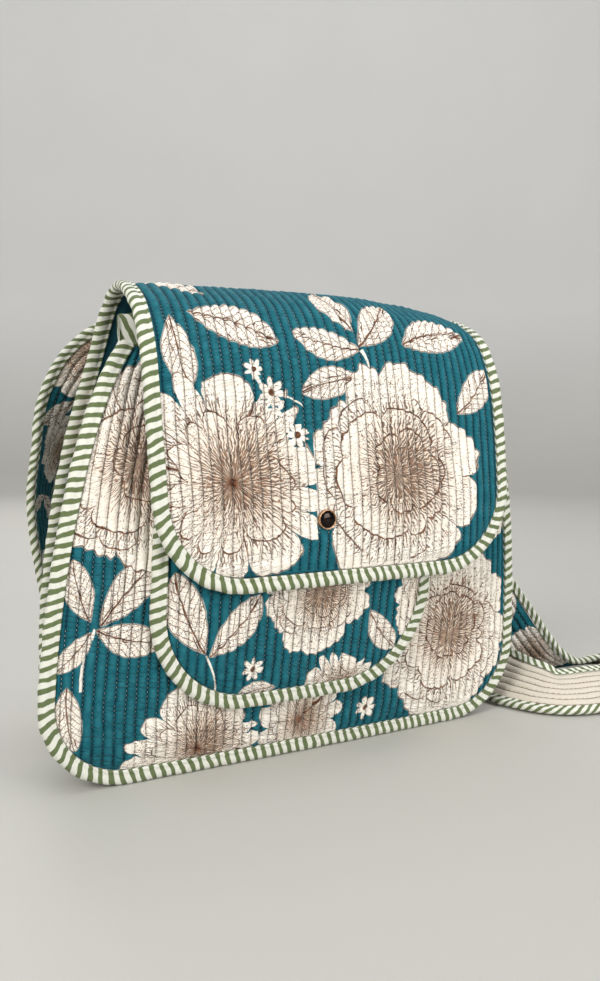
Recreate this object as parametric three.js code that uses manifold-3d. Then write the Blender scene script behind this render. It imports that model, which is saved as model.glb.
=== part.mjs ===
// Quilted shoulder bag: front, back with flap, gusset, patch pocket, strap, striped bindings and a press stud.
// Millimetres, +Z up, the front faces -Y. The origin is the middle of the bottom, where it rests.
import * as THREE from "three";
import { mergeVertices } from "three/addons/utils/BufferGeometryUtils.js";
import Module from "manifold-3d";

const wasm = await Module();
wasm.setup();

// Driving sizes.
const WALL = 4; // quilted cloth with its wadding
const GAP = 0.35; // clearance between neighbouring pieces
const BINDING_WIDTH = 10;
const BINDING_THICK = 6.4;
const FRONT_CORNER = 54; // radius of the front's lower corners, over the binding
const FRONT_TOP = 264; // height of the front cloth's upper edge, under its binding
const MOUTH_WIDTH = 21; // the wider binding of that edge
const BACK_CORNER = 50;
const FLAP_CORNER = 60;
const POCKET_HALF = 102;
const POCKET_CENTRE = -18;
const POCKET_FOOT = 40;
const POCKET_TOP = 195;
const POCKET_CORNER = 67;
const POCKET_STAND_OFF = 5.7; // from the middle of the front's cloth to the middle of the pocket's
const POCKET_EASE = 1.2; // how much further its middle stands off
const SEAM_INSET = 4; // from the edge of the front or back cloth to the gusset's seam
const GUSSET_TOP = 258;
const GUSSET_REST = 2; // height of the middle of the gusset's cloth where it rests
const GUSSET_TUCK = 9; // how far the side of the gusset folds in
const STRAP_WIDTH = 50;
const STRAP_BINDING = 7;
const STRAP_THICK = 4;
const STRAP_EASE = 0.15; // more clearance where the strap twists
const STRAP_STAND_OFF = 5.6; // from the middle of the back's cloth to the strap's, where it is sewn on
const STRAP_SEWN = 1.2; // how many of its sections lie on the back at each end
const SNAP_RADIUS = 6.5;
const SNAP_X = -21;
const SNAP_HEIGHT = 158;
const RIDGE_HEIGHT = 304;
const LEAN = 20; // how far the top leans to the right
const DROOP = 14; // how far the right end of the top sags
const DROOP_FROM = 30;
const DROOP_LENGTH = 130;

// The front at a few heights: half its width over the binding, the seam's place and how far the middle swells.
const FRONT_SECTIONS = [
  { height: 0, half_width: 181, seam_y: -29, belly: 3 },
  { height: 60, half_width: 182, seam_y: -31, belly: 12 },
  { height: 130, half_width: 177, seam_y: -32, belly: 18 },
  { height: 195, half_width: 167, seam_y: -30, belly: 18 },
  { height: 240, half_width: 154, seam_y: -26, belly: 13 },
  { height: 272, half_width: 137, seam_y: -21, belly: 9 },
];

// The back and flap, from the foot of the back over the ridge to the foot of the flap.
const BACK_FLAP_SECTIONS = [
  { y: 33, height: 10, half_width: 154, shift: 0, bow: 1 },
  { y: 39, height: 60, half_width: 160, shift: 0, bow: 5 },
  { y: 41, height: 130, half_width: 158, shift: 0, bow: 7 },
  { y: 38, height: 205, half_width: 150, shift: 0, bow: 6 },
  { y: 32, height: 260, half_width: 141, shift: 0, bow: 4 },
  { y: 23, height: 293, half_width: 138, shift: 0, bow: 2 },
  { y: 9, height: 304, half_width: 137, shift: 0, bow: 1 },
  { y: -13, height: 299, half_width: 137, shift: -2, bow: 1 },
  { y: -34, height: 286, half_width: 137, shift: -3, bow: 2 },
  { y: -48, height: 261, half_width: 137, shift: -1, bow: 3 },
  { y: -55, height: 222, half_width: 137, shift: 3, bow: 4 },
  { y: -59, height: 172, half_width: 136, shift: 8, bow: 5 },
  { y: -60, height: 125, half_width: 136, shift: 11, bow: 4 },
];

// The strap's middle line, and the way across it to its first edge.
const STRAP_SECTIONS = [
  { x: -88, y: 40, z: 268, across: [-0.6, -0.15, 0.79] },
  { x: -110, y: 44, z: 259, across: [-0.6, -0.15, 0.79] },
  { x: -124, y: 60, z: 239, across: [-0.66, -0.4, 0.63] },
  { x: -136, y: 74, z: 209, across: [-0.6, -0.72, 0.35] },
  { x: -144, y: 78, z: 168, across: [-0.55, -0.82, 0.15] },
  { x: -141, y: 80, z: 125, across: [-0.5, -0.86, 0] },
  { x: -132, y: 81, z: 75, across: [-0.4, -0.92, 0] },
  { x: -116, y: 82, z: 30, across: [-0.2, -0.98, 0] },
  { x: -84, y: 83, z: 6, across: [0, -1, 0] },
  { x: -30, y: 84, z: 4, across: [0, -1, 0] },
  { x: 40, y: 85, z: 10, across: [0, -0.97, 0.25] },
  { x: 112, y: 82, z: 22, across: [0, -0.6, 0.8] },
  { x: 170, y: 60, z: 24, across: [0.25, 0.33, 0.9] },
  { x: 196, y: 14, z: 20, across: [0.7, 0.1, 0.7] },
  { x: 200, y: -26, z: 14, across: [0.75, 0.3, 0.55] },
  { x: 214, y: -52, z: 11, across: [0.5, 0.75, 0.42] },
  { x: 250, y: -62, z: 11, across: [0.05, 0.9, 0.42] },
  { x: 296, y: -62, z: 11, across: [-0.1, 0.9, 0.42] },
  { x: 334, y: -48, z: 12, across: [-0.6, 0.66, 0.45] },
  { x: 350, y: -19, z: 12, across: [-0.9, 0, 0.45] },
  { x: 332, y: 9, z: 11, across: [-0.55, -0.75, 0.4] },
  { x: 298, y: 15, z: 10, across: [0, -0.93, 0.32] },
  { x: 272, y: 16, z: 12, across: [0.15, -0.9, 0.36] },
  { x: 252, y: 22, z: 26, across: [0.42, -0.64, 0.6] },
  { x: 235, y: 32, z: 54, across: [0.62, -0.3, 0.7] },
  { x: 219, y: 42, z: 84, across: [0.72, -0.1, 0.69] },
  { x: 203, y: 49, z: 116, across: [0.76, 0, 0.65] },
  { x: 181, y: 54, z: 160, across: [0.78, 0, 0.62] },
  { x: 152, y: 53, z: 212, across: [0.78, 0, 0.62] },
  { x: 124, y: 47, z: 254, across: [0.75, 0, 0.65] },
];

const clamp = (value, low, high) => Math.min(high, Math.max(low, value));
const smooth = (value) => {
  const t = clamp(value, 0, 1);
  return t * t * (3 - 2 * t);
};

// A smooth curve through one column of a table, as a function of another.
function column(rows, key, name) {
  const xs = rows.map((row) => row[key]);
  const ys = rows.map((row) => row[name]);
  const last = xs.length - 1;
  const slope = (i) => {
    const a = Math.max(0, i - 1);
    const b = Math.min(last, i + 1);
    return (ys[b] - ys[a]) / (xs[b] - xs[a]);
  };
  return (x) => {
    let i = 0;
    while (i < last - 1 && x > xs[i + 1]) i += 1;
    const step = xs[i + 1] - xs[i];
    const t = (x - xs[i]) / step;
    if (t < 0) return ys[0] + slope(0) * (x - xs[0]);
    if (t > 1) return ys[last] + slope(last) * (x - xs[last]);
    const s = t * t * (3 - 2 * t);
    const rise = step * (slope(i) * t * (1 - t) ** 2 - slope(i + 1) * t * t * (1 - t));
    return ys[i] * (1 - s) + ys[i + 1] * s + rise;
  };
}

// The soft bag leans a little to the right, and the right end of its top sags.
function slump(x, y, z) {
  const leaned = x + LEAN * (z / RIDGE_HEIGHT) ** 2;
  const past = Math.max(0, (leaned - DROOP_FROM) / DROOP_LENGTH);
  return new THREE.Vector3(leaned, y, z - DROOP * past * past * smooth((z - 120) / 150));
}

// Half the width of a panel whose ends have round corners, at a distance from an end.
function rounded(half, radius, distance) {
  if (distance >= radius) return half;
  const up = radius - Math.max(0, distance);
  return half - radius + Math.sqrt(Math.max(0, radius * radius - up * up));
}

const frontHalf = column(FRONT_SECTIONS, "height", "half_width");
const frontSeam = column(FRONT_SECTIONS, "height", "seam_y");
const frontBelly = column(FRONT_SECTIONS, "height", "belly");

function frontPoint(x, z) {
  const side = x / frontHalf(z);
  return slump(x, frontSeam(z) - frontBelly(z) * (1 - side * side), z);
}

// Distance along the back and flap at each of its sections.
BACK_FLAP_SECTIONS.forEach((row, i) => {
  const before = BACK_FLAP_SECTIONS[i - 1];
  row.along = i ? before.along + Math.hypot(row.y - before.y, row.height - before.height) : 0;
});
const FLAP_END = BACK_FLAP_SECTIONS.at(-1).along;
const flapY = column(BACK_FLAP_SECTIONS, "along", "y");
const flapHeight = column(BACK_FLAP_SECTIONS, "along", "height");
const flapHalf = column(BACK_FLAP_SECTIONS, "along", "half_width");
const flapBow = column(BACK_FLAP_SECTIONS, "along", "bow");
const flapShift = column(BACK_FLAP_SECTIONS, "along", "shift");

function backFlapPoint(x, along) {
  const dy = flapY(along + 1) - flapY(along - 1);
  const dz = flapHeight(along + 1) - flapHeight(along - 1);
  const length = Math.hypot(dy, dz);
  const side = x / flapHalf(along);
  const swell = flapBow(along) * (1 - side * side);
  const y = flapY(along) + (swell * dz) / length;
  return slump(x + flapShift(along), y, flapHeight(along) - (swell * dy) / length);
}

// Unit normal of a surface given as point(u, v).
function normalAt(point, u, v) {
  const across = point(u + 0.5, v).sub(point(u - 0.5, v));
  const along = point(u, v + 0.5).sub(point(u, v - 0.5));
  return across.cross(along).normalize();
}

function pocketPoint(x, z) {
  const lift = clamp((z - POCKET_FOOT) / 60, 0, 1);
  const side = clamp((x - POCKET_CENTRE) / POCKET_HALF, -1, 1);
  const away = POCKET_STAND_OFF + POCKET_EASE * lift * (1 - side * side);
  return frontPoint(x, z).addScaledVector(normalAt(frontPoint, x, z), away);
}

// Closed solid from a ring-by-ring list of points, with both ends capped or joined.
function ringSolid(rings, closed) {
  const sides = rings[0].length;
  const points = rings.flat();
  const index = [];
  const steps = closed ? rings.length : rings.length - 1;
  for (let i = 0; i < steps; i += 1) {
    for (let j = 0; j < sides; j += 1) {
      const a = i * sides + j;
      const b = i * sides + ((j + 1) % sides);
      const c = ((i + 1) % rings.length) * sides + ((j + 1) % sides);
      const d = ((i + 1) % rings.length) * sides + j;
      index.push(a, b, c, a, c, d);
    }
  }
  if (!closed) {
    const end = (rings.length - 1) * sides;
    for (let j = 1; j < sides - 1; j += 1) {
      index.push(0, j + 1, j);
      index.push(end, end + j, end + j + 1);
    }
  }
  return solid(points, index);
}

function solid(points, index) {
  const geometry = new THREE.BufferGeometry().setFromPoints(points);
  geometry.setIndex(index);
  let volume = 0;
  const cross = new THREE.Vector3();
  for (let i = 0; i < index.length; i += 3) {
    volume += points[index[i]].dot(cross.crossVectors(points[index[i + 1]], points[index[i + 2]]));
  }
  if (volume < 0) {
    for (let i = 0; i < index.length; i += 3) {
      [index[i + 1], index[i + 2]] = [index[i + 2], index[i + 1]];
    }
    geometry.setIndex(index);
  }
  return geometry;
}

// Cloth of a given thickness over a grid of places: rows of [u, v] on a surface point(u, v).
function sheet(point, grid, thickness) {
  const layers = [0.5, -0.5].map((side) =>
    grid.map((row) =>
      row.map(([u, v]) => point(u, v).addScaledVector(normalAt(point, u, v), side * thickness)),
    ),
  );
  const rows = grid.length;
  const columns = grid[0].length;
  const points = layers.flat(2);
  const at = (layer, i, j) => layer * rows * columns + i * columns + j;
  const index = [];
  const quad = (a, b, c, d) => index.push(a, b, c, a, c, d);
  for (let i = 0; i < rows - 1; i += 1) {
    for (let j = 0; j < columns - 1; j += 1) {
      quad(at(0, i, j), at(0, i, j + 1), at(0, i + 1, j + 1), at(0, i + 1, j));
      quad(at(1, i, j), at(1, i + 1, j), at(1, i + 1, j + 1), at(1, i, j + 1));
    }
  }
  for (let i = 0; i < rows - 1; i += 1) {
    quad(at(0, i, 0), at(0, i + 1, 0), at(1, i + 1, 0), at(1, i, 0));
    quad(at(0, i + 1, columns - 1), at(0, i, columns - 1), at(1, i, columns - 1), at(1, i + 1, columns - 1));
  }
  for (let j = 0; j < columns - 1; j += 1) {
    quad(at(0, 0, j + 1), at(0, 0, j), at(1, 0, j), at(1, 0, j + 1));
    quad(at(0, rows - 1, j), at(0, rows - 1, j + 1), at(1, rows - 1, j + 1), at(1, rows - 1, j));
  }
  return solid(points, index);
}

// Section of a binding, as [outward, off the cloth], starting at the cloth's edge.
const bindingSection = (width, thick, grow = 0) => [
  [GAP - grow, -0.36 * thick - grow],
  [0.35 * width, -0.5 * thick - grow],
  [0.75 * width, -0.42 * thick - grow],
  [width + grow, 0],
  [0.75 * width, 0.42 * thick + grow],
  [0.35 * width, 0.5 * thick + grow],
  [GAP - grow, 0.36 * thick + grow],
];

// A binding along places [u, v] on the edge of a surface, with the cloth on its left.
function binding(point, path, section, closed) {
  const places = path.map(([u, v]) => point(u, v));
  const last = places.length - 1;
  const rings = path.map(([u, v], i) => {
    const before = closed ? places.at(i - 1) : places[Math.max(0, i - 1)];
    const after = closed ? places[(i + 1) % places.length] : places[Math.min(last, i + 1)];
    const tangent = after.clone().sub(before).normalize();
    const normal = normalAt(point, u, v);
    const outward = tangent.clone().cross(normal).normalize();
    const off = outward.clone().cross(tangent).normalize();
    return section.map(([out, up]) =>
      places[i].clone().addScaledVector(outward, out).addScaledVector(off, up),
    );
  });
  return ringSolid(rings, closed);
}

function manifoldOf(geometry) {
  const merged = mergeVertices(geometry.clone().deleteAttribute("normal").deleteAttribute("uv"), 1e-4);
  return new wasm.Manifold(
    new wasm.Mesh({
      numProp: 3,
      vertProperties: new Float32Array(merged.attributes.position.array),
      triVerts: new Uint32Array(merged.index.array),
    }),
  );
}

// The largest piece of a solid after its neighbours are cut away.
function trimmed(geometry, cutters) {
  let left = manifoldOf(geometry);
  for (const cutter of cutters) left = left.subtract(manifoldOf(cutter));
  const pieces = left.decompose();
  pieces.sort((a, b) => b.volume() - a.volume());
  const mesh = pieces[0].getMesh();
  const made = new THREE.BufferGeometry();
  const places = [];
  for (let i = 0; i < mesh.vertProperties.length; i += mesh.numProp) {
    places.push(...mesh.vertProperties.slice(i, i + 3));
  }
  made.setAttribute("position", new THREE.Float32BufferAttribute(places, 3));
  made.setIndex(Array.from(mesh.triVerts));
  return made;
}

// Even steps from one value to another, both included.
const steps = (from, to, count) =>
  Array.from({ length: count + 1 }, (_, i) => from + ((to - from) * i) / count);

// Distances from an end that follow its round corner.
const cornerSteps = (radius, count) =>
  steps(0, Math.PI / 2, count).map((turn) => radius * (1 - Math.cos(turn)));

// Grid of places between a half width either side, a row for each value of v.
const gridOf = (rows, half, columns, centre = 0) =>
  rows.map((v) => steps(-1, 1, columns).map((side) => [centre + side * half(v), v]));

// Sides and foot of a grid, from the top left, down and round to the top right.
function cupPath(grid) {
  const left = grid.map((row) => row[0]).reverse();
  const right = grid.map((row) => row.at(-1));
  return [...left, ...grid[0].slice(1, -1), ...right];
}

// The front.
const frontCornerCloth = FRONT_CORNER - BINDING_WIDTH;
const frontClothHalf = (z) =>
  rounded(frontHalf(z) - BINDING_WIDTH, frontCornerCloth, z - BINDING_WIDTH);
const frontRows = [
  ...cornerSteps(frontCornerCloth, 5).map((d) => BINDING_WIDTH + d),
  ...steps(BINDING_WIDTH + frontCornerCloth, FRONT_TOP, 9).slice(1),
];
const frontGrid = gridOf(frontRows, frontClothHalf, 14);
const frontPanel = sheet(frontPoint, frontGrid, WALL);
const frontCup = cupPath(frontGrid);
const mouthHalf = frontClothHalf(FRONT_TOP) + BINDING_WIDTH * 0.9;
const mouthPath = steps(mouthHalf, -mouthHalf, 16).map((x) => [x, FRONT_TOP]);
const edgeSection = (grow) => bindingSection(BINDING_WIDTH, BINDING_THICK, grow);
const mouthSection = (grow) => bindingSection(MOUTH_WIDTH, BINDING_THICK, grow);
const mouthBinding = binding(frontPoint, mouthPath, mouthSection(0), false);
const mouthCutter = binding(frontPoint, mouthPath, mouthSection(GAP), false);
const frontBinding = trimmed(binding(frontPoint, frontCup, edgeSection(0), false), [mouthCutter]);

// The back and flap.
const backCornerCloth = BACK_CORNER - BINDING_WIDTH;
const flapCornerCloth = FLAP_CORNER - BINDING_WIDTH;
const backFlapHalf = (along) => {
  const half = flapHalf(along) - BINDING_WIDTH;
  if (along < FLAP_END / 2) return rounded(half, backCornerCloth, along);
  return rounded(half, flapCornerCloth, FLAP_END - along);
};
const backFlapRows = [
  ...cornerSteps(backCornerCloth, 4),
  ...steps(backCornerCloth, FLAP_END - flapCornerCloth, 22).slice(1, -1),
  ...cornerSteps(flapCornerCloth, 5).map((d) => FLAP_END - d).reverse(),
];
const backFlapGrid = gridOf(backFlapRows, backFlapHalf, 12);
const backFlap = sheet(backFlapPoint, backFlapGrid, WALL);
const backFlapLoop = [
  ...backFlapGrid.map((row) => row.at(-1)),
  ...backFlapGrid.at(-1).slice(1, -1).reverse(),
  ...backFlapGrid.map((row) => row[0]).reverse(),
  ...backFlapGrid[0].slice(1, -1),
];
const flapBinding = binding(backFlapPoint, backFlapLoop, edgeSection(0), true);

// The pocket.
const pocketCornerCloth = POCKET_CORNER - BINDING_WIDTH;
const pocketFootCloth = POCKET_FOOT + BINDING_WIDTH;
const pocketClothHalf = (z) =>
  rounded(POCKET_HALF - BINDING_WIDTH, pocketCornerCloth, z - pocketFootCloth);
const pocketRows = [
  ...cornerSteps(pocketCornerCloth, 5).map((d) => pocketFootCloth + d),
  ...steps(pocketFootCloth + pocketCornerCloth, POCKET_TOP, 4).slice(1),
];
const pocketGrid = gridOf(pocketRows, pocketClothHalf, 10, POCKET_CENTRE);
const frontPocket = sheet(pocketPoint, pocketGrid, WALL);
const pocketBinding = binding(pocketPoint, cupPath(pocketGrid), edgeSection(0), false);

// The gusset runs between the two seams, folded in at the sides and sagging to rest at the bottom.
const backHeightAt = BACK_FLAP_SECTIONS.slice(0, 7);
const backAlong = column(backHeightAt, "height", "along");
const seamFoot = BINDING_WIDTH + SEAM_INSET;
const gussetCorner = frontCornerCloth - SEAM_INSET;
const gussetHeights = [
  ...cornerSteps(gussetCorner, 5).map((d) => seamFoot + d),
  ...steps(seamFoot + gussetCorner, GUSSET_TOP, 8).slice(1),
];
const frontSeamHalf = (z) =>
  rounded(frontHalf(z) - BINDING_WIDTH - SEAM_INSET, gussetCorner, z - seamFoot);
const backSeamHalf = (z) =>
  rounded(
    flapHalf(backAlong(z)) - BINDING_WIDTH - SEAM_INSET,
    backCornerCloth - SEAM_INSET,
    z - seamFoot,
  );
const gussetStations = [
  ...gussetHeights.map((z) => ({ z, share: -1 })).reverse(),
  ...steps(-1, 1, 8).slice(1, -1).map((share) => ({ z: seamFoot, share })),
  ...gussetHeights.map((z) => ({ z, share: 1 })),
];
const gussetShares = [0, 0.13, 0.27, 0.5, 0.73, 0.87, 1];

function gussetPoint(depth, station) {
  const low = clamp(Math.floor(station), 0, gussetStations.length - 2);
  const t = station - low;
  const ends = [low, low + 1].map((i) => {
    const { z, share } = gussetStations[i];
    const turn = clamp((z - seamFoot) / gussetCorner, 0, 1);
    const sideways = Math.sqrt(1 - (1 - turn) ** 2);
    const down = 1 - turn;
    const front = frontPoint(share * frontSeamHalf(z), z);
    const back = backFlapPoint(share * backSeamHalf(z), backAlong(z));
    const place = front.lerp(back, clamp(depth, 0, 1));
    const plateau = smooth(depth / 0.27) * smooth((1 - depth) / 0.27);
    const fold = GUSSET_TUCK * 4 * depth * (1 - depth) * turn;
    const sag = (seamFoot - GUSSET_REST) * plateau * down * down;
    place.x -= share * sideways * (fold - sag);
    place.z -= down * sag;
    return place;
  });
  return ends[0].lerp(ends[1], t);
}

function gussetSheet() {
  const point = (u, v) => gussetPoint(u, v);
  const normal = (u, v) => {
    const across = point(Math.min(1, u + 0.02), v).sub(point(Math.max(0, u - 0.02), v));
    const along = point(u, v + 0.5).sub(point(u, v - 0.5));
    return across.cross(along).normalize();
  };
  const lift = (side) =>
    gussetStations.map((_, i) =>
      gussetShares.map((u) => {
        const place = point(u, i).addScaledVector(normal(u, i), side * WALL * 0.5);
        place.z = Math.max(0, place.z);
        return place;
      }),
    );
  const outer = lift(1);
  const inner = lift(-1);
  const rings = outer.map((row, i) => [...row, ...inner[i].slice().reverse()]);
  return ringSolidWide(rings);
}

// Closed solid from rings that are two matching rows, so its end caps are strips.
function ringSolidWide(rings) {
  const sides = rings[0].length;
  const points = rings.flat();
  const index = [];
  for (let i = 0; i < rings.length - 1; i += 1) {
    for (let j = 0; j < sides; j += 1) {
      const k = (j + 1) % sides;
      index.push(i * sides + j, i * sides + k, (i + 1) * sides + k);
      index.push(i * sides + j, (i + 1) * sides + k, (i + 1) * sides + j);
    }
  }
  const end = (rings.length - 1) * sides;
  for (let j = 0; j < sides / 2 - 1; j += 1) {
    const far = sides - 1 - j;
    index.push(j, far - 1, j + 1, j, far, far - 1);
    index.push(end + j, end + j + 1, end + far - 1, end + j, end + far - 1, end + far);
  }
  return solid(points, index);
}

const cutWall = WALL + 2 * GAP;
const grown = (rows) => [rows[0] - GAP, ...rows.slice(1)];
const frontCutter = gridOf(grown(frontRows), (z) => frontClothHalf(z) + GAP, 14);
const backCutter = gridOf(grown(backFlapRows), (along) => backFlapHalf(along) + GAP, 12);
const gusset = trimmed(gussetSheet(), [
  sheet(frontPoint, frontCutter, cutWall),
  sheet(backFlapPoint, backCutter, cutWall),
  binding(frontPoint, frontCup, edgeSection(GAP), false),
  binding(backFlapPoint, backFlapLoop, edgeSection(GAP), true),
  mouthCutter,
]);

// The strap.
const strapVectors = STRAP_SECTIONS.map(({ across }) => new THREE.Vector3(...across).normalize());
const strapRows = STRAP_SECTIONS.map((row, i) => ({
  ...row,
  place: i,
  ax: strapVectors[i].x,
  ay: strapVectors[i].y,
  az: strapVectors[i].z,
}));
const strapColumn = Object.fromEntries(
  ["x", "y", "z", "ax", "ay", "az"].map((name) => [name, column(strapRows, "place", name)]),
);

function strapPoint(u, place) {
  const line = (v) => new THREE.Vector3(strapColumn.x(v), strapColumn.y(v), strapColumn.z(v));
  const tangent = line(place + 0.05).sub(line(place - 0.05)).normalize();
  const across = new THREE.Vector3(strapColumn.ax(place), strapColumn.ay(place), strapColumn.az(place));
  across.addScaledVector(tangent, -across.dot(tangent)).normalize();
  const middle = line(place);
  const edge = (STRAP_WIDTH / 2) * Math.abs(across.z) + 3.2 * Math.sqrt(1 - across.z * across.z);
  middle.z = Math.max(middle.z, edge + 0.1);
  const spot = middle.addScaledVector(across, u);
  const sewn = 1 - smooth(Math.min(place, STRAP_SECTIONS.length - 1 - place) / STRAP_SEWN);
  if (sewn > 0) spot.y += sewn * (backY(spot.x, spot.z) + STRAP_STAND_OFF - spot.y);
  return spot;
}

// Where the middle of the back's cloth is, at a place seen from behind.
function backY(x, z) {
  const past = Math.max(0, (x - DROOP_FROM) / DROOP_LENGTH);
  const up = z + DROOP * past * past * smooth((z - 120) / 150);
  return backFlapPoint(x - LEAN * (up / RIDGE_HEIGHT) ** 2, backAlong(up)).y;
}

const strapHalf = STRAP_WIDTH / 2 - STRAP_BINDING;
const strapPlaces = steps(0, STRAP_SECTIONS.length - 1, 80);
const strapGrid = strapPlaces.map((v) => [strapHalf, 0, -strapHalf].map((u) => [u, v]));
const strapSection = bindingSection(STRAP_BINDING, 5.4).map(([out, up]) => [out + STRAP_EASE, up]);

// Normal of the strap, with a short step along it because its place counts sections.
function strapNormal(u, v) {
  const across = strapPoint(u + 0.5, v).sub(strapPoint(u - 0.5, v));
  const along = strapPoint(u, v + 0.02).sub(strapPoint(u, v - 0.02));
  return across.cross(along).normalize();
}

function strapSheet() {
  const rings = strapGrid.map((row) => {
    const lifted = (side) =>
      row.map(([u, v]) => strapPoint(u, v).addScaledVector(strapNormal(u, v), side * STRAP_THICK * 0.5));
    return [...lifted(1), ...lifted(-1).reverse()];
  });
  return ringSolidWide(rings);
}

function strapEdge(side) {
  const rings = strapPlaces.map((v) => {
    const place = strapPoint(side * strapHalf, v);
    const normal = strapNormal(side * strapHalf, v);
    const outward = strapPoint(side * STRAP_WIDTH, v).sub(strapPoint(0, v)).normalize();
    return strapSection.map(([out, up]) =>
      place.clone().addScaledVector(outward, out).addScaledVector(normal, up),
    );
  });
  return ringSolid(rings, false);
}

// The press stud: a cap on the flap and its other half on the pocket.
const flapRows = BACK_FLAP_SECTIONS.slice(8).map((row) => ({ ...row, fall: -row.height }));
const snapAlong = column(flapRows, "fall", "along")(-SNAP_HEIGHT);

function turnedPiece(profile, place, direction) {
  const geometry = new THREE.LatheGeometry(profile.map(([r, h]) => new THREE.Vector2(r, h)), 18);
  const turn = new THREE.Quaternion().setFromUnitVectors(new THREE.Vector3(0, 1, 0), direction);
  return { geometry, place, turn };
}

const snapFace = normalAt(backFlapPoint, SNAP_X, snapAlong).negate();
const snapPlace = backFlapPoint(SNAP_X, snapAlong);
const capProfile = [
  [0, 0],
  [SNAP_RADIUS, 0],
  [SNAP_RADIUS, 0.9],
  [SNAP_RADIUS - 0.6, 1.7],
  [SNAP_RADIUS - 1.5, 1.8],
  [SNAP_RADIUS - 1.9, 1.5],
  [SNAP_RADIUS - 3.5, 2.3],
  [0, 2.6],
];
const studProfile = [
  [0, 0],
  [SNAP_RADIUS - 1, 0],
  [SNAP_RADIUS - 1, 1.4],
  [0, 1.4],
];

// Colours and finishes.
const look = (color, roughness, metalness = 0) =>
  new THREE.MeshStandardMaterial({ color, roughness, metalness });
const cloth = look("#1f6574", 0.85);
const striped = look("#b9c3a0", 0.85);
const metal = look("#3a2a20", 0.2, 1);

const bag = new THREE.Group();
function addPiece(name, geometry, material) {
  const mesh = new THREE.Mesh(geometry, material);
  mesh.name = name;
  bag.add(mesh);
  return mesh;
}

addPiece("back_flap", backFlap, cloth);
addPiece("front_panel", frontPanel, cloth);
addPiece("gusset", gusset, cloth);
addPiece("front_pocket", frontPocket, cloth);
addPiece("strap", strapSheet(), cloth);
addPiece("flap_binding", flapBinding, striped);
addPiece("front_binding", frontBinding, striped);
addPiece("mouth_binding", mouthBinding, striped);
addPiece("pocket_binding", pocketBinding, striped);
addPiece("strap_binding_a", strapEdge(1), striped);
addPiece("strap_binding_b", strapEdge(-1), striped);

const cap = turnedPiece(capProfile, snapPlace.clone().addScaledVector(snapFace, WALL / 2 + GAP), snapFace);
const capMesh = addPiece("snap_cap", cap.geometry, metal);
capMesh.position.copy(cap.place);
capMesh.quaternion.copy(cap.turn);
const under = snapPlace.clone().addScaledVector(snapFace, -WALL / 2 - GAP);
const stud = turnedPiece(studProfile, under, snapFace.clone().negate());
const studMesh = addPiece("snap_stud", stud.geometry, metal);
studMesh.position.copy(stud.place);
studMesh.quaternion.copy(stud.turn);

export default bag;
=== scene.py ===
"""The quilted shoulder bag's looks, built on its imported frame."""
import math
from dataclasses import dataclass

import bpy
import numpy as np
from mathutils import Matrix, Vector


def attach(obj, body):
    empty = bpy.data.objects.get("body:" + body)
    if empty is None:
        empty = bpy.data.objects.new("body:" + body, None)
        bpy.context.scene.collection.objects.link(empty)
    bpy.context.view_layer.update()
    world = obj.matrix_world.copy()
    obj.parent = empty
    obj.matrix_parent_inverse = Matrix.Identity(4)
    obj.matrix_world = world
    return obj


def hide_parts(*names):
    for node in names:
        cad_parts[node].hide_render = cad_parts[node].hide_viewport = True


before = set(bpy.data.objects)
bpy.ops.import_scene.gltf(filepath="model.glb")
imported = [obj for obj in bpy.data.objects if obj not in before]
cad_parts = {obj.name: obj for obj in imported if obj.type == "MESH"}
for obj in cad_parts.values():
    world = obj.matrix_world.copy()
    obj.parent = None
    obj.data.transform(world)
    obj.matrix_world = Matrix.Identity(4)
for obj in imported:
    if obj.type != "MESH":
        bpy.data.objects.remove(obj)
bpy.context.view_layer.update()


def table(columns, rows):
    """The rows of a table, each by the names of its columns."""
    return [dict(zip(columns.split(), row)) for row in rows]


# Sizes in millimetres, the same as the solids have.
MM = 0.001
WALL = 4.0
GAP = 0.35
BINDING_WIDTH = 10.0
BINDING_THICK = 6.4
FRONT_CORNER = 54.0
FRONT_TOP = 264.0
MOUTH_WIDTH = 21.0
BACK_CORNER = 50.0
FLAP_CORNER = 60.0
POCKET_HALF = 102.0
POCKET_CENTRE = -18.0
POCKET_FOOT = 40.0
POCKET_TOP = 195.0
POCKET_CORNER = 67.0
POCKET_STAND_OFF = 5.7
POCKET_EASE = 1.2
POCKET_SWELL = 60.0
SEAM_INSET = 4.0
SEAM_FOOT = BINDING_WIDTH + SEAM_INSET
GUSSET_TOP = 258.0
GUSSET_REST = 2.0
GUSSET_TUCK = 9.0
GUSSET_DEPTH = 66.0
GUSSET_HALF = 29.6
GUSSET_RAMP = 0.27
GUSSET_CORNER = FRONT_CORNER - BINDING_WIDTH - SEAM_INSET
STRAP_WIDTH = 50.0
STRAP_BINDING = 7.0
STRAP_BINDING_THICK = 5.4
STRAP_HALF = STRAP_WIDTH / 2 - STRAP_BINDING
STRAP_EASE = 0.15
STRAP_STAND_OFF = 5.6
STRAP_SEWN = 1.2
STRAP_EDGE = 3.2
SNAP_RADIUS = 6.5
SNAP_X = -21.0
SNAP_HEIGHT = 158.0
SNAP_DOME = 2.6
SNAP_SIDES = 64
SNAP_PRESS = 6.8
SNAP_PRESS_SOFT = 6.0
RIDGE_HEIGHT = 304.0
LEAN = 20.0
DROOP = 14.0
DROOP_FROM = 30.0
DROOP_LENGTH = 130.0
DROOP_FOOT = 120.0
DROOP_RISE = 150.0

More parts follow.
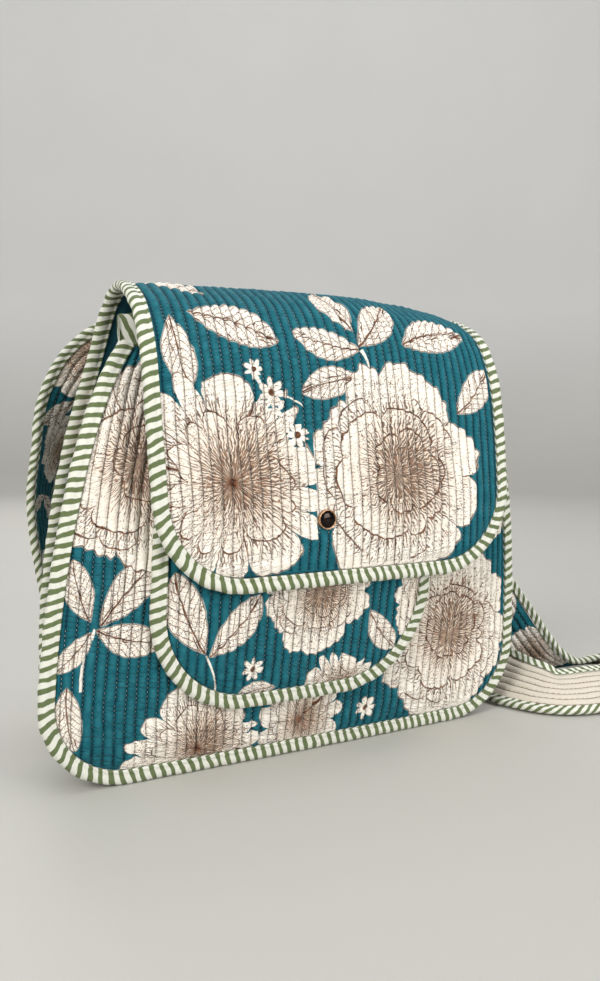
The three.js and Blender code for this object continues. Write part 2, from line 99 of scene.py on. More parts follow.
# Quilting and sewing: channels, puff, stitches, and the steps of the meshes.
FLAP_CHANNEL = 6.6
FRONT_CHANNEL = 6.5
POCKET_CHANNEL = 6.5
GUSSET_CHANNEL = 6.6
STRAP_CHANNEL = 6.0
PRINT_CHANNEL = 6.5
PUFF = 2.2
STRAP_PUFF = 1.7
RIB_ROUND = 0.55
VALLEY_DEPTH = 0.75
SEAM_PUFF = 0.35
PRESSED_DEPTH = 0.1
LINING_SKIN = 0.5
LINING_PUFF = 0.45
DRIFT = 0.7
DRIFT_LENGTH = 120.0
JITTER = 0.22
JITTER_LENGTH = 24.0
SEAM_EASE = 6.0
SWELL_LENGTH = 70.0
SWELL_INSET = 25.0
PUCKER = 0.3
PUCKER_LENGTH = 17.0
PUCKER_REACH = 10.0
PLUMP = 0.16
PLUMP_LENGTH = 30.0
STITCH_PITCH = 2.8
STRAP_STITCH = 3.6
STITCH_SHARE = 0.66
STITCH_WIDE = 0.55
STITCH_HIGH = 0.5
STITCH_RISE = 0.3
STITCH_INSET = 2.5
END_STITCH = 0.9
END_RISE = 0.1
END_NEAR = 4.0
END_FAR = 24.0
AHEAD = 0.8
STRIPE_PITCH = 6.4
BAND_SLANT = 0.36
STRAP_SLANT = 0.9
BAND_STEP = 2.2
BAND_GROOVE = 3.2
BAND_SWELL = 0.045
BAND_SWELL_LENGTH = 13.0
BAND_PUCKER = 0.03
BAND_PUCKER_LENGTH = 5.0
BAND_GIVE = 0.55
BAND_FULLEST = 1.03
ROW_STEP = 4.2
FLAP_ROW_STEP = 5.0
STRAP_ROW_STEP = 3.0
CURVE_MOST = 1.2
CURVE_ROWS = 2.8
CHANNEL_COLUMNS = 7

# The front: half width, seam depth and belly at each height.
FRONT_SECTIONS = table("height half_width seam_y belly", [
    (0, 181, -29, 3),
    (60, 182, -31, 12),
    (130, 177, -32, 18),
    (195, 167, -30, 18),
    (240, 154, -26, 13),
    (272, 137, -21, 9),
])

# The back and flap, from the foot of the back over the top to the flap's edge.
BACK_FLAP_SECTIONS = table("y height half_width shift bow", [
    (33, 10, 154, 0, 1),
    (39, 60, 160, 0, 5),
    (41, 130, 158, 0, 7),
    (38, 205, 150, 0, 6),
    (32, 260, 141, 0, 4),
    (23, 293, 138, 0, 2),
    (9, 304, 137, 0, 1),
    (-13, 299, 137, -2, 1),
    (-34, 286, 137, -3, 2),
    (-48, 261, 137, -1, 3),
    (-55, 222, 137, 3, 4),
    (-59, 172, 136, 8, 5),
    (-60, 125, 136, 11, 4),
])
BACK_ROWS = 7
FLAP_FRONT_ROW = 8

# The strap's middle line and the direction across it, from the left end to the right end.
STRAP_SECTIONS = table("x y z across_x across_y across_z", [
    (-88, 40, 268, -0.6, -0.15, 0.79),
    (-110, 44, 259, -0.6, -0.15, 0.79),
    (-124, 60, 239, -0.66, -0.4, 0.63),
    (-136, 74, 209, -0.6, -0.72, 0.35),
    (-144, 78, 168, -0.55, -0.82, 0.15),
    (-141, 80, 125, -0.5, -0.86, 0),
    (-132, 81, 75, -0.4, -0.92, 0),
    (-116, 82, 30, -0.2, -0.98, 0),
    (-84, 83, 6, 0, -1, 0),
    (-30, 84, 4, 0, -1, 0),
    (40, 85, 10, 0, -0.97, 0.25),
    (112, 82, 22, 0, -0.6, 0.8),
    (170, 60, 24, 0.25, 0.33, 0.9),
    (196, 14, 20, 0.7, 0.1, 0.7),
    (200, -26, 14, 0.75, 0.3, 0.55),
    (214, -52, 11, 0.5, 0.75, 0.42),
    (250, -62, 11, 0.05, 0.9, 0.42),
    (296, -62, 11, -0.1, 0.9, 0.42),
    (334, -48, 12, -0.6, 0.66, 0.45),
    (350, -19, 12, -0.9, 0, 0.45),
    (332, 9, 11, -0.55, -0.75, 0.4),
    (298, 15, 10, 0, -0.93, 0.32),
    (272, 16, 12, 0.15, -0.9, 0.36),
    (252, 22, 26, 0.42, -0.64, 0.6),
    (235, 32, 54, 0.62, -0.3, 0.7),
    (219, 42, 84, 0.72, -0.1, 0.69),
    (203, 49, 116, 0.76, 0, 0.65),
    (181, 54, 160, 0.78, 0, 0.62),
    (152, 53, 212, 0.78, 0, 0.62),
    (124, 47, 254, 0.75, 0, 0.65),
])


def vec(x, y, z):
    return np.stack(np.broadcast_arrays(x, y, z), axis=-1).astype(float)


def unit(v):
    return v / np.maximum(np.linalg.norm(v, axis=-1, keepdims=True), 1e-9)


def smooth(value):
    t = np.clip(value, 0, 1)
    return t * t * (3 - 2 * t)


def distances(places):
    """How far along a path each of its places is."""
    return np.concatenate([[0], np.cumsum(np.linalg.norm(np.diff(places, axis=0), axis=1))])


def column(rows, key, name):
    """A smooth curve through one column of a table, as a function of another."""
    xs = np.array([row[key] for row in rows], float)
    ys = np.array([row[name] for row in rows], float)
    slopes = np.empty(len(xs))
    slopes[1:-1] = (ys[2:] - ys[:-2]) / (xs[2:] - xs[:-2])
    slopes[0] = (ys[1] - ys[0]) / (xs[1] - xs[0])
    slopes[-1] = (ys[-1] - ys[-2]) / (xs[-1] - xs[-2])

    def value(x):
        x = np.asarray(x, float)
        i = np.clip(np.searchsorted(xs, x) - 1, 0, len(xs) - 2)
        step = xs[i + 1] - xs[i]
        t = np.clip((x - xs[i]) / step, 0, 1)
        s = t * t * (3 - 2 * t)
        rise = step * (slopes[i] * t * (1 - t) ** 2 - slopes[i + 1] * t * t * (1 - t))
        inside = ys[i] * (1 - s) + ys[i + 1] * s + rise
        before = np.minimum(x - xs[0], 0) * slopes[0]
        after = np.maximum(x - xs[-1], 0) * slopes[-1]
        return inside + before + after

    return value


def droop(x, z):
    """How far the right end of the top sags at a place."""
    past = np.maximum(0, (x - DROOP_FROM) / DROOP_LENGTH)
    return DROOP * past * past * smooth((z - DROOP_FOOT) / DROOP_RISE)


def slump(x, y, z):
    """The soft bag leans a little to the right, and the right end of its top sags."""
    leaned = x + LEAN * (z / RIDGE_HEIGHT) ** 2
    return vec(leaned, y, z - droop(leaned, z))


def everywhere(x, v):
    """1 at all places of a cloth."""
    return np.ones_like(x)


def rounded(half, radius, distance):
    """Half the width of a panel with round corners, at a distance from its end."""
    up = radius - np.clip(distance, 0, radius)
    return half - radius + np.sqrt(np.maximum(0, radius * radius - up * up))


def normal_at(point, u, v):
    across = point(u + 0.5, v) - point(u - 0.5, v)
    along = point(u, v + 0.5) - point(u, v - 0.5)
    return unit(np.cross(across, along))


FRONT_CURVES = [column(FRONT_SECTIONS, "height", name) for name in ("half_width", "seam_y", "belly")]
front_half, front_seam, front_belly = FRONT_CURVES


def front_point(x, z):
    side = x / front_half(z)
    return slump(x, front_seam(z) - front_belly(z) * (1 - side * side), z)


def front_cloth_half(z):
    return rounded(front_half(z) - BINDING_WIDTH, FRONT_CORNER - BINDING_WIDTH, z - BINDING_WIDTH)


for i, row in enumerate(BACK_FLAP_SECTIONS):
    before = BACK_FLAP_SECTIONS[max(0, i - 1)]
    reach = math.hypot(row["y"] - before["y"], row["height"] - before["height"])
    row["along"] = before.get("along", 0) + reach
    row["fall"] = -row["height"]
FLAP_END = BACK_FLAP_SECTIONS[-1]["along"]
FLAP_COLUMNS = ("y", "height", "half_width", "shift", "bow")
FLAP_CURVES = [column(BACK_FLAP_SECTIONS, "along", name) for name in FLAP_COLUMNS]
flap_y, flap_height, flap_half, flap_shift, flap_bow = FLAP_CURVES
back_along = column(BACK_FLAP_SECTIONS[:BACK_ROWS], "height", "along")
SNAP_ALONG = column(BACK_FLAP_SECTIONS[FLAP_FRONT_ROW:], "fall", "along")(-SNAP_HEIGHT)


def back_flap_point(x, along):
    dy = flap_y(along + 1) - flap_y(along - 1)
    dz = flap_height(along + 1) - flap_height(along - 1)
    length = np.hypot(dy, dz)
    side = x / flap_half(along)
    swell = flap_bow(along) * (1 - side * side)
    y = flap_y(along) + swell * dz / length
    return slump(x + flap_shift(along), y, flap_height(along) - swell * dy / length)


def back_flap_cloth_half(along):
    half = flap_half(along) - BINDING_WIDTH
    back = rounded(half, BACK_CORNER - BINDING_WIDTH, along)
    flap = rounded(half, FLAP_CORNER - BINDING_WIDTH, FLAP_END - along)
    return np.where(along < FLAP_END / 2, back, flap)


def pocket_point(x, z):
    lift = np.clip((z - POCKET_FOOT) / POCKET_SWELL, 0, 1)
    side = np.clip((x - POCKET_CENTRE) / POCKET_HALF, -1, 1)
    away = POCKET_STAND_OFF + POCKET_EASE * lift * (1 - side * side)
    return front_point(x, z) + normal_at(front_point, x, z) * away[..., None]


def pocket_cloth_half(z):
    corner = POCKET_CORNER - BINDING_WIDTH
    return rounded(POCKET_HALF - BINDING_WIDTH, corner, z - POCKET_FOOT - BINDING_WIDTH)


def front_seam_half(z):
    return rounded(front_half(z) - BINDING_WIDTH - SEAM_INSET, GUSSET_CORNER, z - SEAM_FOOT)


def back_seam_half(z):
    half = flap_half(back_along(z)) - BINDING_WIDTH - SEAM_INSET
    return rounded(half, BACK_CORNER - BINDING_WIDTH - SEAM_INSET, z - SEAM_FOOT)


def gusset_route():
    """Distances along the gusset, down the left, along the bottom and up the right, and their places."""
    corner = SEAM_FOOT + GUSSET_CORNER * (1 - np.cos(np.linspace(0, math.pi / 2, 60)))
    side = np.concatenate([corner, np.linspace(SEAM_FOOT + GUSSET_CORNER, GUSSET_TOP, 160)[1:]])
    bottom = np.linspace(-1, 1, 240)[1:-1]
    z = np.concatenate([side[::-1], np.full(len(bottom), SEAM_FOOT), side])
    share = np.concatenate([np.full(len(side), -1.0), bottom, np.full(len(side), 1.0)])
    return distances(front_point(share * front_seam_half(z), z)), z, share


GUSSET_GONE, GUSSET_Z, GUSSET_SHARE = gusset_route()
GUSSET_LENGTH = GUSSET_GONE[-1]


def gusset_at(u, gone):
    """The gusset between the two seams: tucked in at the sides and sagging to the floor below."""
    depth = 0.5 + u / GUSSET_DEPTH
    z = np.interp(gone, GUSSET_GONE, GUSSET_Z)
    share = np.interp(gone, GUSSET_GONE, GUSSET_SHARE)
    turn = np.clip((z - SEAM_FOOT) / GUSSET_CORNER, 0, 1)
    sideways = np.sqrt(1 - (1 - turn) ** 2)
    down = 1 - turn
    front = front_point(share * front_seam_half(z), z)
    back = back_flap_point(share * back_seam_half(z), back_along(z))
    place = front + (back - front) * np.clip(depth, 0, 1)[..., None]
    plateau = smooth(depth / GUSSET_RAMP) * smooth((1 - depth) / GUSSET_RAMP)
    fold = GUSSET_TUCK * 4 * depth * (1 - depth) * turn
    sag = (SEAM_FOOT - GUSSET_REST) * plateau * down * down
    place[..., 0] -= share * sideways * (fold - sag)
    place[..., 2] -= down * sag
    return place


# The strap's place counts the sections of its table.
STRAP_LAST = len(STRAP_SECTIONS) - 1
MIDDLE, ACROSS = ("x", "y", "z"), ("across_x", "across_y", "across_z")
for i, row in enumerate(STRAP_SECTIONS):
    row["place"] = i
    size = math.sqrt(sum(row[name] * row[name] for name in ACROSS))
    row.update({name: row[name] / size for name in ACROSS})
strap_columns = {name: column(STRAP_SECTIONS, "place", name) for name in MIDDLE + ACROSS}


def back_y(x, z):
    """Where the middle of the back's cloth is, at a place seen from behind."""
    up = z + droop(x, z)
    return back_flap_point(x - LEAN * (up / RIDGE_HEIGHT) ** 2, back_along(up))[..., 1]


def strap_line(place):
    return vec(*(strap_columns[name](place) for name in MIDDLE))


def strap_point(u, place):
    """The strap's middle layer: its edge rests on the floor, and its ends lie on the back."""
    place = np.asarray(place, float)
    tangent = unit(strap_line(place + 0.05) - strap_line(place - 0.05))
    across = vec(*(strap_columns[name](place) for name in ACROSS))
    across = unit(across - tangent * np.sum(across * tangent, axis=-1, keepdims=True))
    middle = strap_line(place)
    lean = across[..., 2]
    edge = STRAP_WIDTH / 2 * np.abs(lean) + STRAP_EDGE * np.sqrt(1 - lean * lean)
    middle[..., 2] = np.maximum(middle[..., 2], edge + 0.1)
    spot = middle + across * np.asarray(u, float)[..., None]
    sewn = 1 - smooth(np.minimum(place, STRAP_LAST - place) / STRAP_SEWN)
    spot[..., 1] += sewn * (back_y(spot[..., 0], spot[..., 2]) + STRAP_STAND_OFF - spot[..., 1])
    return spot


STRAP_PLACE = np.linspace(0, STRAP_LAST, 1200)
STRAP_GONE = distances(strap_point(np.zeros_like(STRAP_PLACE), STRAP_PLACE))
STRAP_LENGTH = STRAP_GONE[-1]


def strap_at(u, gone):
    return strap_point(u, np.interp(gone, STRAP_GONE, STRAP_PLACE))


def waves(a, b, length, seed):
    """Gentle uneven waves of about a given length, mostly between -1 and 1."""
    total = 0.0
    for k in range(5):
        turn = 2.4 * k + 1.3 * seed
        pull = 2 * math.pi / (length * (0.75 + 0.14 * k))
        total = total + np.sin((a * math.cos(turn) + b * math.sin(turn)) * pull + 1.7 * seed * (k + 1))
    return total / 2.6


def mesh_object(name, points, faces, materials, kinds=None):
    """A closed smooth mesh, in metres, with its faces turned outwards."""
    tri = points[faces[:, :3]]
    other = points[faces[:, [0, 2, 3]]]
    volume = np.einsum("ij,ij->", tri[:, 0], np.cross(tri[:, 1], tri[:, 2]))
    volume += np.einsum("ij,ij->", other[:, 0], np.cross(other[:, 1], other[:, 2]))
    if volume < 0:
        faces = faces[:, ::-1]
    mesh = bpy.data.meshes.new(name)
    mesh.from_pydata((points * MM).tolist(), [], faces.tolist())
    mesh.polygons.foreach_set("use_smooth", np.ones(len(faces), bool))
    for material in materials:
        mesh.materials.append(material)
    if kinds is not None:
        mesh.polygons.foreach_set("material_index", np.asarray(kinds, np.int32))
    mesh.update()
    return placed(name, mesh), faces


def placed(name, data):
    """A new object in the scene."""
    thing = bpy.data.objects.new(name, data)
    bpy.context.scene.collection.objects.link(thing)
    return thing


def vectors(piece, name, values, domain="POINT"):
    """Three numbers for each point or face corner of a mesh, for its material to read."""
    layer = piece.data.attributes.new(name, "FLOAT_VECTOR", domain)
    layer.data.foreach_set("vector", np.ascontiguousarray(values, np.float32).ravel())


def ring_faces(at):
    """Faces between neighbouring rows of a grid of points whose rows are closed rings."""
    ahead = np.roll(at, -1, axis=1)
    return np.stack([at[:-1], ahead[:-1], ahead[1:], at[1:]], axis=-1).reshape(-1, 4)


@dataclass
class Quilt:
    """A quilted piece: where its cloth lies and how its channels run."""
    name: str
    point: object
    ends: tuple
    half: object
    facing: int
    channel: float
    seed: float
    centre: float = 0.0
    taper: object = np.ones_like
    sag: float = 0.3
    puff: float = PUFF
    stitch: float = STITCH_PITCH
    row_step: float = ROW_STEP
    calm: object = everywhere
    pressed: object = everywhere

    def __post_init__(self):
        self.start, self.end = self.ends

    def cloth_x(self, x, v):
        """Place across the cloth, which its channels follow a little unevenly."""
        drift = DRIFT * waves(x, v, DRIFT_LENGTH, self.seed + 0.3)
        jitter = JITTER * waves(x, v, JITTER_LENGTH, self.seed + 0.8)
        return (x - self.centre) * self.taper(v) + (drift + jitter)

    def relief(self, x, v):
        """Cloth coordinate, channel puff and the shifts of the outer and inner faces."""
        c = self.cloth_x(x, v)
        rib = np.abs(np.sin(math.pi * c / self.channel)) ** RIB_ROUND
        aside = self.half(v) - np.abs(x - self.centre)
        inset = np.minimum(aside, np.minimum(v - self.start, self.end - v))
        free = smooth(inset / SEAM_EASE)
        swell = 0.5 + 0.5 * waves(x, v, SWELL_LENGTH, self.seed)
        soft = self.sag * swell * smooth(inset / SWELL_INSET) * self.calm(x, v)
        seam = np.exp(-np.maximum(inset, 0) / PUCKER_REACH)
        soft = soft + PUCKER * waves(x, v, PUCKER_LENGTH, self.seed + 2) * seam * free
        plump = 1 + PLUMP * waves(x, 2.2 * v, PLUMP_LENGTH, self.seed + 5)
        grown = SEAM_PUFF + (1 - SEAM_PUFF) * free
        outer = WALL / 2 - VALLEY_DEPTH * self.puff + self.puff * rib * plump * grown
        inner = -WALL / 2 + LINING_SKIN - LINING_PUFF * rib * free
        flat = WALL / 2 - PRESSED_DEPTH
        outer = flat + (soft + outer - flat) * self.pressed(x, v)
        return c, rib, outer, soft + inner

    def lifted(self, x, v, inside=False, turned=False):
        """Places on the cloth's outer or inner face, or on the outer face of its other side."""
        c, rib, outer, inner = self.relief(x, v)
        normal = normal_at(self.point, x, v) * (-self.facing if turned else self.facing)
        shift = inner if inside else outer
        place = self.point(x, v) + normal * shift[..., None]
        place[..., 2] = np.maximum(place[..., 2], 0)
        return place, normal, c, rib

    def rows(self):
        """Rows along the piece, closer together where its sides curve in."""
        fine = np.linspace(self.start, self.end, 1500)
        curve = np.minimum(np.abs(np.gradient(self.half(fine), fine)), CURVE_MOST)
        gone = np.concatenate([[0], np.cumsum((1 + CURVE_ROWS * curve[1:]) * np.diff(fine))])
        count = int(math.ceil(gone[-1] / self.row_step)) + 1
        return np.interp(np.linspace(0, gone[-1], count), gone, fine)

    def to_valleys(self, x, v):
        """Columns with the nearest one to each valley moved onto it."""
        off = self.cloth_x(x, v)
        off = self.channel * np.round(off / self.channel) - off
        away = np.abs(off)
        nearest = (away[:, 1:-1] < away[:, :-2]) & (away[:, 1:-1] <= away[:, 2:])
        moved = x.copy()
        moved[:, 1:-1] += np.where(nearest, off[:, 1:-1] / self.taper(v)[:, 1:-1], 0)
        return moved

    def build(self, materials, both=False):
        """The piece as a closed mesh, and the cloth places of its faces' corners."""
        v = self.rows()
        rows = len(v)
        wide = float(np.max(self.half(v)))
        columns = int(math.ceil(2 * wide / self.channel * CHANNEL_COLUMNS)) + 1
        share = np.linspace(-1, 1, columns)
        vv = np.repeat(v[:, None], columns, axis=1)
        xx = self.to_valleys(self.centre + share[None, :] * self.half(v)[:, None], vv)
        top, _, c, rib = self.lifted(xx, vv)
        under, _, _, _ = self.lifted(xx, vv, inside=not both, turned=both)
        count = rows * columns
        at = np.arange(count).reshape(rows, columns)
        sheet = np.stack([at[:-1, :-1], at[:-1, 1:], at[1:, 1:], at[1:, :-1]], axis=-1).reshape(-1, 4)
        rim = np.concatenate([at[0, :], at[1:, -1], at[-1, -2::-1], at[-2:0:-1, 0]])
        nxt = np.roll(rim, -1)
        edge = np.stack([nxt, rim, rim + count, nxt + count], axis=-1)
        faces = np.concatenate([sheet, sheet[:, ::-1] + count, edge])
        kinds = np.concatenate([np.zeros(len(sheet)), np.ones(len(sheet)), np.zeros(len(edge))])
        points = np.concatenate([top.reshape(-1, 3), under.reshape(-1, 3)])
        piece, faces = mesh_object(self.name, points, faces, materials, kinds)
        cloth = np.stack([c, vv, rib], axis=-1).reshape(-1, 3)
        cloth = np.concatenate([cloth, cloth])
        scale = np.array([PRINT_CHANNEL / self.channel, STITCH_PITCH / self.stitch, 1])
        vectors(piece, "cloth", cloth * scale)
        return piece, cloth[faces]

    def seam(self, x, v, run_x, run_v, rise, turned):
        """Stitches at cloth places that run a given way: places, directions and normals."""
        place, normal, _, _ = self.lifted(x, v, turned=turned)
        ahead, _, _, _ = self.lifted(x + run_x, v + run_v, turned=turned)
        return place + normal * rise, unit(ahead - place), normal

    def channel_seams(self, turned=False):
        """The stitches in the valleys between channels."""
        first = math.ceil((self.start + END_NEAR) / self.stitch)
        last = int((self.end - END_NEAR) / self.stitch)
        v = self.stitch * (np.arange(first, last) + 0.25)
        flat = self.taper(v)
        most = int(float(np.max(self.half(v))) * float(np.max(flat)) / self.channel)
        found = []
        for k in range(-most, most + 1):
            x = self.centre + k * self.channel / flat
            for _ in range(4):
                x = x + (k * self.channel - self.cloth_x(x, v)) / flat
            inside = self.half(v) - np.abs(x - self.centre) > STITCH_INSET
            if inside.sum() > 2:
                found.append((x[inside], v[inside]))
        x, v = (np.concatenate(parts) for parts in zip(*found))
        return self.seam(x, v, 0.0, AHEAD, STITCH_RISE, turned)

    def end_seams(self, turned):
        """A stitched rectangle near each end, where the piece is sewn down."""
        reach = self.half(np.array([0.0]))[0] - END_NEAR
        across = np.arange(-reach, reach, self.stitch)
        found = []
        starts = (self.start + END_NEAR, self.start + END_FAR)
        ends = (self.end - END_FAR, self.end - END_NEAR)
        for low, high in (starts, ends):
            along = np.arange(low, high, self.stitch)
            for v in (low, high):
                found.append(self.seam(across, np.full_like(across, v), AHEAD, 0.0, END_RISE, turned))
            for x in (-reach, reach):
                found.append(self.seam(np.full_like(along, x), along, 0.0, AHEAD, END_RISE, turned))
        return tuple(np.concatenate(parts) for parts in zip(*found))


def even_path(point, u, v, closed):
    """The same path with even steps, and the distance gone at each."""
    if closed:
        u = np.append(u, u[0])
        v = np.append(v, v[0])
    gone = distances(point(u, v))
    at = np.linspace(0, gone[-1], int(round(gone[-1] / BAND_STEP)) + 1)
    if closed:
        at = at[:-1]
    return np.interp(at, gone, u), np.interp(at, gone, v), at


def band_profile(width, thick):
    """Section of a folded binding: outward and off the cloth, with the sewn groove near its inner edge."""
    shares = np.array([1, 0.965, 0.88, 0.74, 0.55, 0.33, 0.12])
    rise = np.array([0, 0.17, 0.32, 0.43, 0.49, 0.5, 0.47])
    out = np.concatenate([BAND_GROOVE + (width - BAND_GROOVE) * shares, [2.55, 1.9, 1.1, 0.6, GAP]])
    off = np.concatenate([rise, [0.37, 0.43, 0.44, 0.4, 0.3]]) * thick
    upper = np.stack([out, off], axis=-1)
    lower = upper[1:][::-1] * np.array([1, -1])
    return np.concatenate([lower, upper])


def band(name, point, path, seed, width=BINDING_WIDTH, thick=BINDING_THICK, closed=False, turn=1.0,
         slant=BAND_SLANT, ease=0.0):
    """A folded binding along the edge of a cloth, with stripes measured along it."""
    u, v, gone = even_path(point, *path, closed)
    places = point(u, v)
    if closed:
        before, after = np.roll(places, 1, axis=0), np.roll(places, -1, axis=0)
    else:
        before = np.concatenate([places[:1], places[:-1]])
        after = np.concatenate([places[1:], places[-1:]])
    tangent = unit(after - before)
    outward = unit(np.cross(tangent, normal_at(point, u, v))) * turn
    off = unit(np.cross(outward, tangent)) * turn
    ring = band_profile(width, thick)
    around = distances(ring)
    around = around - around[len(around) // 2]
    level = np.zeros_like(gone)
    full = 1 + BAND_SWELL * waves(gone, level, BAND_SWELL_LENGTH, seed)
    full = (full + BAND_PUCKER * waves(gone, level, BAND_PUCKER_LENGTH, seed + 3))[:, None]
    reach = ring[None, :, 0] + ease + (full - 1) * ring[None, :, 0] * BAND_GIVE
    lift = ring[None, :, 1] * np.minimum(BAND_FULLEST, full)
    points = places[:, None] + outward[:, None] * reach[..., None] + off[:, None] * lift[..., None]
    points[..., 2] = np.maximum(points[..., 2], 0.05)
    rings, sides = points.shape[:2]
    at = np.arange(rings * sides).reshape(rings, sides)
    if closed:
        faces = ring_faces(np.concatenate([at, at[:1]]))
    else:
        lower = np.arange(sides // 2)
        strip = np.stack([lower, lower + 1, sides - 2 - lower, sides - 1 - lower], axis=-1)
        strip = strip[strip[:, 1] < strip[:, 2]]
        faces = np.concatenate([ring_faces(at), strip, strip[:, ::-1] + (rings - 1) * sides])
    piece, _ = mesh_object(name, points.reshape(-1, 3), faces, [BAND])
    vectors(piece, "band", np.stack(np.broadcast_arrays(gone[:, None], around[None, :], slant), axis=-1))
    return piece


def tone(red, green, blue):
    """A screen colour from 0 to 255 as the shader's linear colour."""
    parts = [value / 255 for value in (red, green, blue)]
    flat = [p / 12.92 if p <= 0.04045 else ((p + 0.055) / 1.055) ** 2.4 for p in parts]
    return (*flat, 1.0)


class Wire:
    """A shader socket that can stand in sums."""

    def __init__(self, finish, socket):
        self.finish = finish
        self.socket = socket

    def math(self, operation, *others, clamp=False):
        inputs = dict(enumerate((self, *others)))
        return self.finish.node("ShaderNodeMath", dict(operation=operation, use_clamp=clamp), inputs)

    def __add__(self, other):
        return self.math("ADD", other)

    __radd__ = __add__

    def __sub__(self, other):
        return self.math("SUBTRACT", other)

    def __rsub__(self, other):
        return self.math("MULTIPLY_ADD", -1.0, other)

    def __mul__(self, other):
        return self.math("MULTIPLY", other)

    __rmul__ = __mul__

    def __truediv__(self, other):
        return self.math("DIVIDE", other)

    def __pow__(self, other):
        return self.math("POWER", other)

    def __abs__(self):
        return self.math("ABSOLUTE")

    def sin(self):
        return self.math("SINE")

    def cos(self):
        return self.math("COSINE")

    def root(self):
        return self.math("SQRT")

    def floor(self):
        return self.math("FLOOR")

    def fract(self):
        return self.math("FRACT")

    def least(self, other):
        return self.math("MINIMUM", other)

    def most(self, other):
        return self.math("MAXIMUM", other)

    def over(self, edge, soft):
        """0 below the edge and 1 above it, over a soft step."""
        return self.math("MULTIPLY_ADD", 1 / soft, 0.5 - edge / soft, clamp=True)

    def near(self, middle, reach):
        """1 at a value, falling to 0 a reach away from it."""
        return (1 - abs(self - middle) / reach).most(0.0)


class Finish:
    """A material and the nodes that make it."""

    def __init__(self, name):
        self.material = bpy.data.materials.new(name)
        self.material.use_nodes = True
        self.tree = self.material.node_tree
        self.shader = self.tree.nodes["Principled BSDF"]

    def feed(self, socket, value):
        """Link a wire to a socket, or give the socket a plain value."""
        if isinstance(value, Wire):
            self.tree.links.new(value.socket, socket)
        else:
            socket.default_value = value

    def node(self, kind, settings=None, inputs=None, output=0):
        made = self.tree.nodes.new(kind)
        for name, value in (settings or {}).items():
            setattr(made, name, value)
        for name, value in (inputs or {}).items():
            self.feed(made.inputs[name], value)
        return Wire(self, made.outputs[output])

    def vector(self, name):
        """The three numbers that a mesh carries under a name."""
        return self.parts(self.node("ShaderNodeAttribute", dict(attribute_name=name), output="Vector"))

    def place(self):
        """Where a point is on its piece."""
        return self.node("ShaderNodeTexCoord", output="Object")

    def parts(self, wire):
        outputs = self.node("ShaderNodeSeparateXYZ", None, {0: wire}).socket.node.outputs
        return tuple(Wire(self, socket) for socket in outputs)

    def join(self, x, y, z):
        return self.node("ShaderNodeCombineXYZ", None, {0: x, 1: y, 2: z})

    def noise(self, place, scale=1.0, detail=2.0, rough=0.5):
        vector = self.join(*place) if isinstance(place, tuple) else place
        inputs = {"Vector": vector, "Scale": scale, "Detail": detail, "Roughness": rough}
        return self.node("ShaderNodeTexNoise", dict(noise_dimensions="3D"), inputs, "Fac")

    def cells(self, place, scale):
        inputs = {"Vector": self.join(*place), "Scale": scale}
        return self.node("ShaderNodeTexVoronoi", None, inputs, "Distance")

    def mix(self, factor, a, b, blend="MIX"):
        settings = dict(data_type="RGBA", blend_type=blend)
        return self.node("ShaderNodeMix", settings, {0: factor, 6: a, 7: b}, 2)

    def weave(self, x, y, pitch):
        """Height of a plain weave of threads with a pitch, uneven as spun yarn is."""
        uneven = self.noise((x * 0.9, y * 0.9, 0.0)) * 1.6
        over = (x * (2 * math.pi / pitch) + uneven).sin()
        under = (y * (2 * math.pi / pitch) + uneven).sin()
        return over * under * 0.5 + 0.5

    def finish(self, colour, rough, height=None, depth=0.0, strength=0.0, **constants):
        """The material with its colour and roughness, and a bump from a height and its depth in metres."""
        self.feed(self.shader.inputs["Base Color"], colour)
        self.feed(self.shader.inputs["Roughness"], rough)
        for name, value in constants.items():
            self.shader.inputs[name.replace("_", " ")].default_value = value
        if height is not None:
            inputs = {"Height": height, "Distance": depth, "Strength": strength}
            self.feed(self.shader.inputs["Normal"], self.node("ShaderNodeBump", None, inputs, "Normal"))
        return self.material


# Colours: cloth with its painted valley shade and crown highlight, print, bindings, other face, lining,
# thread, metal and stage.
TEAL = tone(18, 93, 105)
TEAL_DEEP = tone(14, 84, 96)
# Painted highlight: a lighter teal for the crowns of the quilted channels.
TEAL_CROWN_HIGHLIGHT = tone(50, 124, 136)
TEAL_SHADOW = (0.18, 0.34, 0.40, 1.0)
CREAM = tone(241, 235, 225)
CREAM_SHADE = tone(231, 222, 208)
CREAM_SHADOW = (0.20, 0.11, 0.07, 1.0)
INK = tone(80, 48, 32)
INK_LIGHT = tone(132, 92, 66)
WASH = tone(208, 182, 152)
BAND_WHITE = tone(222, 223, 214)
BAND_WHITE_WORN = tone(208, 207, 194)
BAND_GREEN = tone(84, 97, 62)
BAND_GREEN_WORN = tone(106, 118, 78)
PLAIN_CREAM = tone(211, 203, 190)
PLAIN_CREAM_WORN = tone(202, 192, 175)
PLAIN_CREAM_SLUB = tone(188, 176, 157)
LINING = tone(20, 66, 80)
THREAD = tone(128, 142, 140)
THREAD_LIT = tone(170, 184, 180)
CAP_DARK = tone(40, 34, 32)
CAP_RIM = tone(184, 146, 114)
BRASS = tone(150, 118, 84)
BRASS_LIT = tone(186, 150, 112)
FLOOR = tone(182, 180, 173)
FLOOR_TINT = tone(150, 148, 142)
WALL_PAINT = tone(213, 212, 210)

# Pitches of the woven threads, how dull cotton shines, and what keeps powers and roots off zero.
PRINT_WEAVE = 0.55
BAND_WEAVE = 0.5
PLAIN_WEAVE = 0.6
DULL = dict(Sheen_Weight=0.1, Specular_IOR_Level=0.25)
TINY = 0.0001

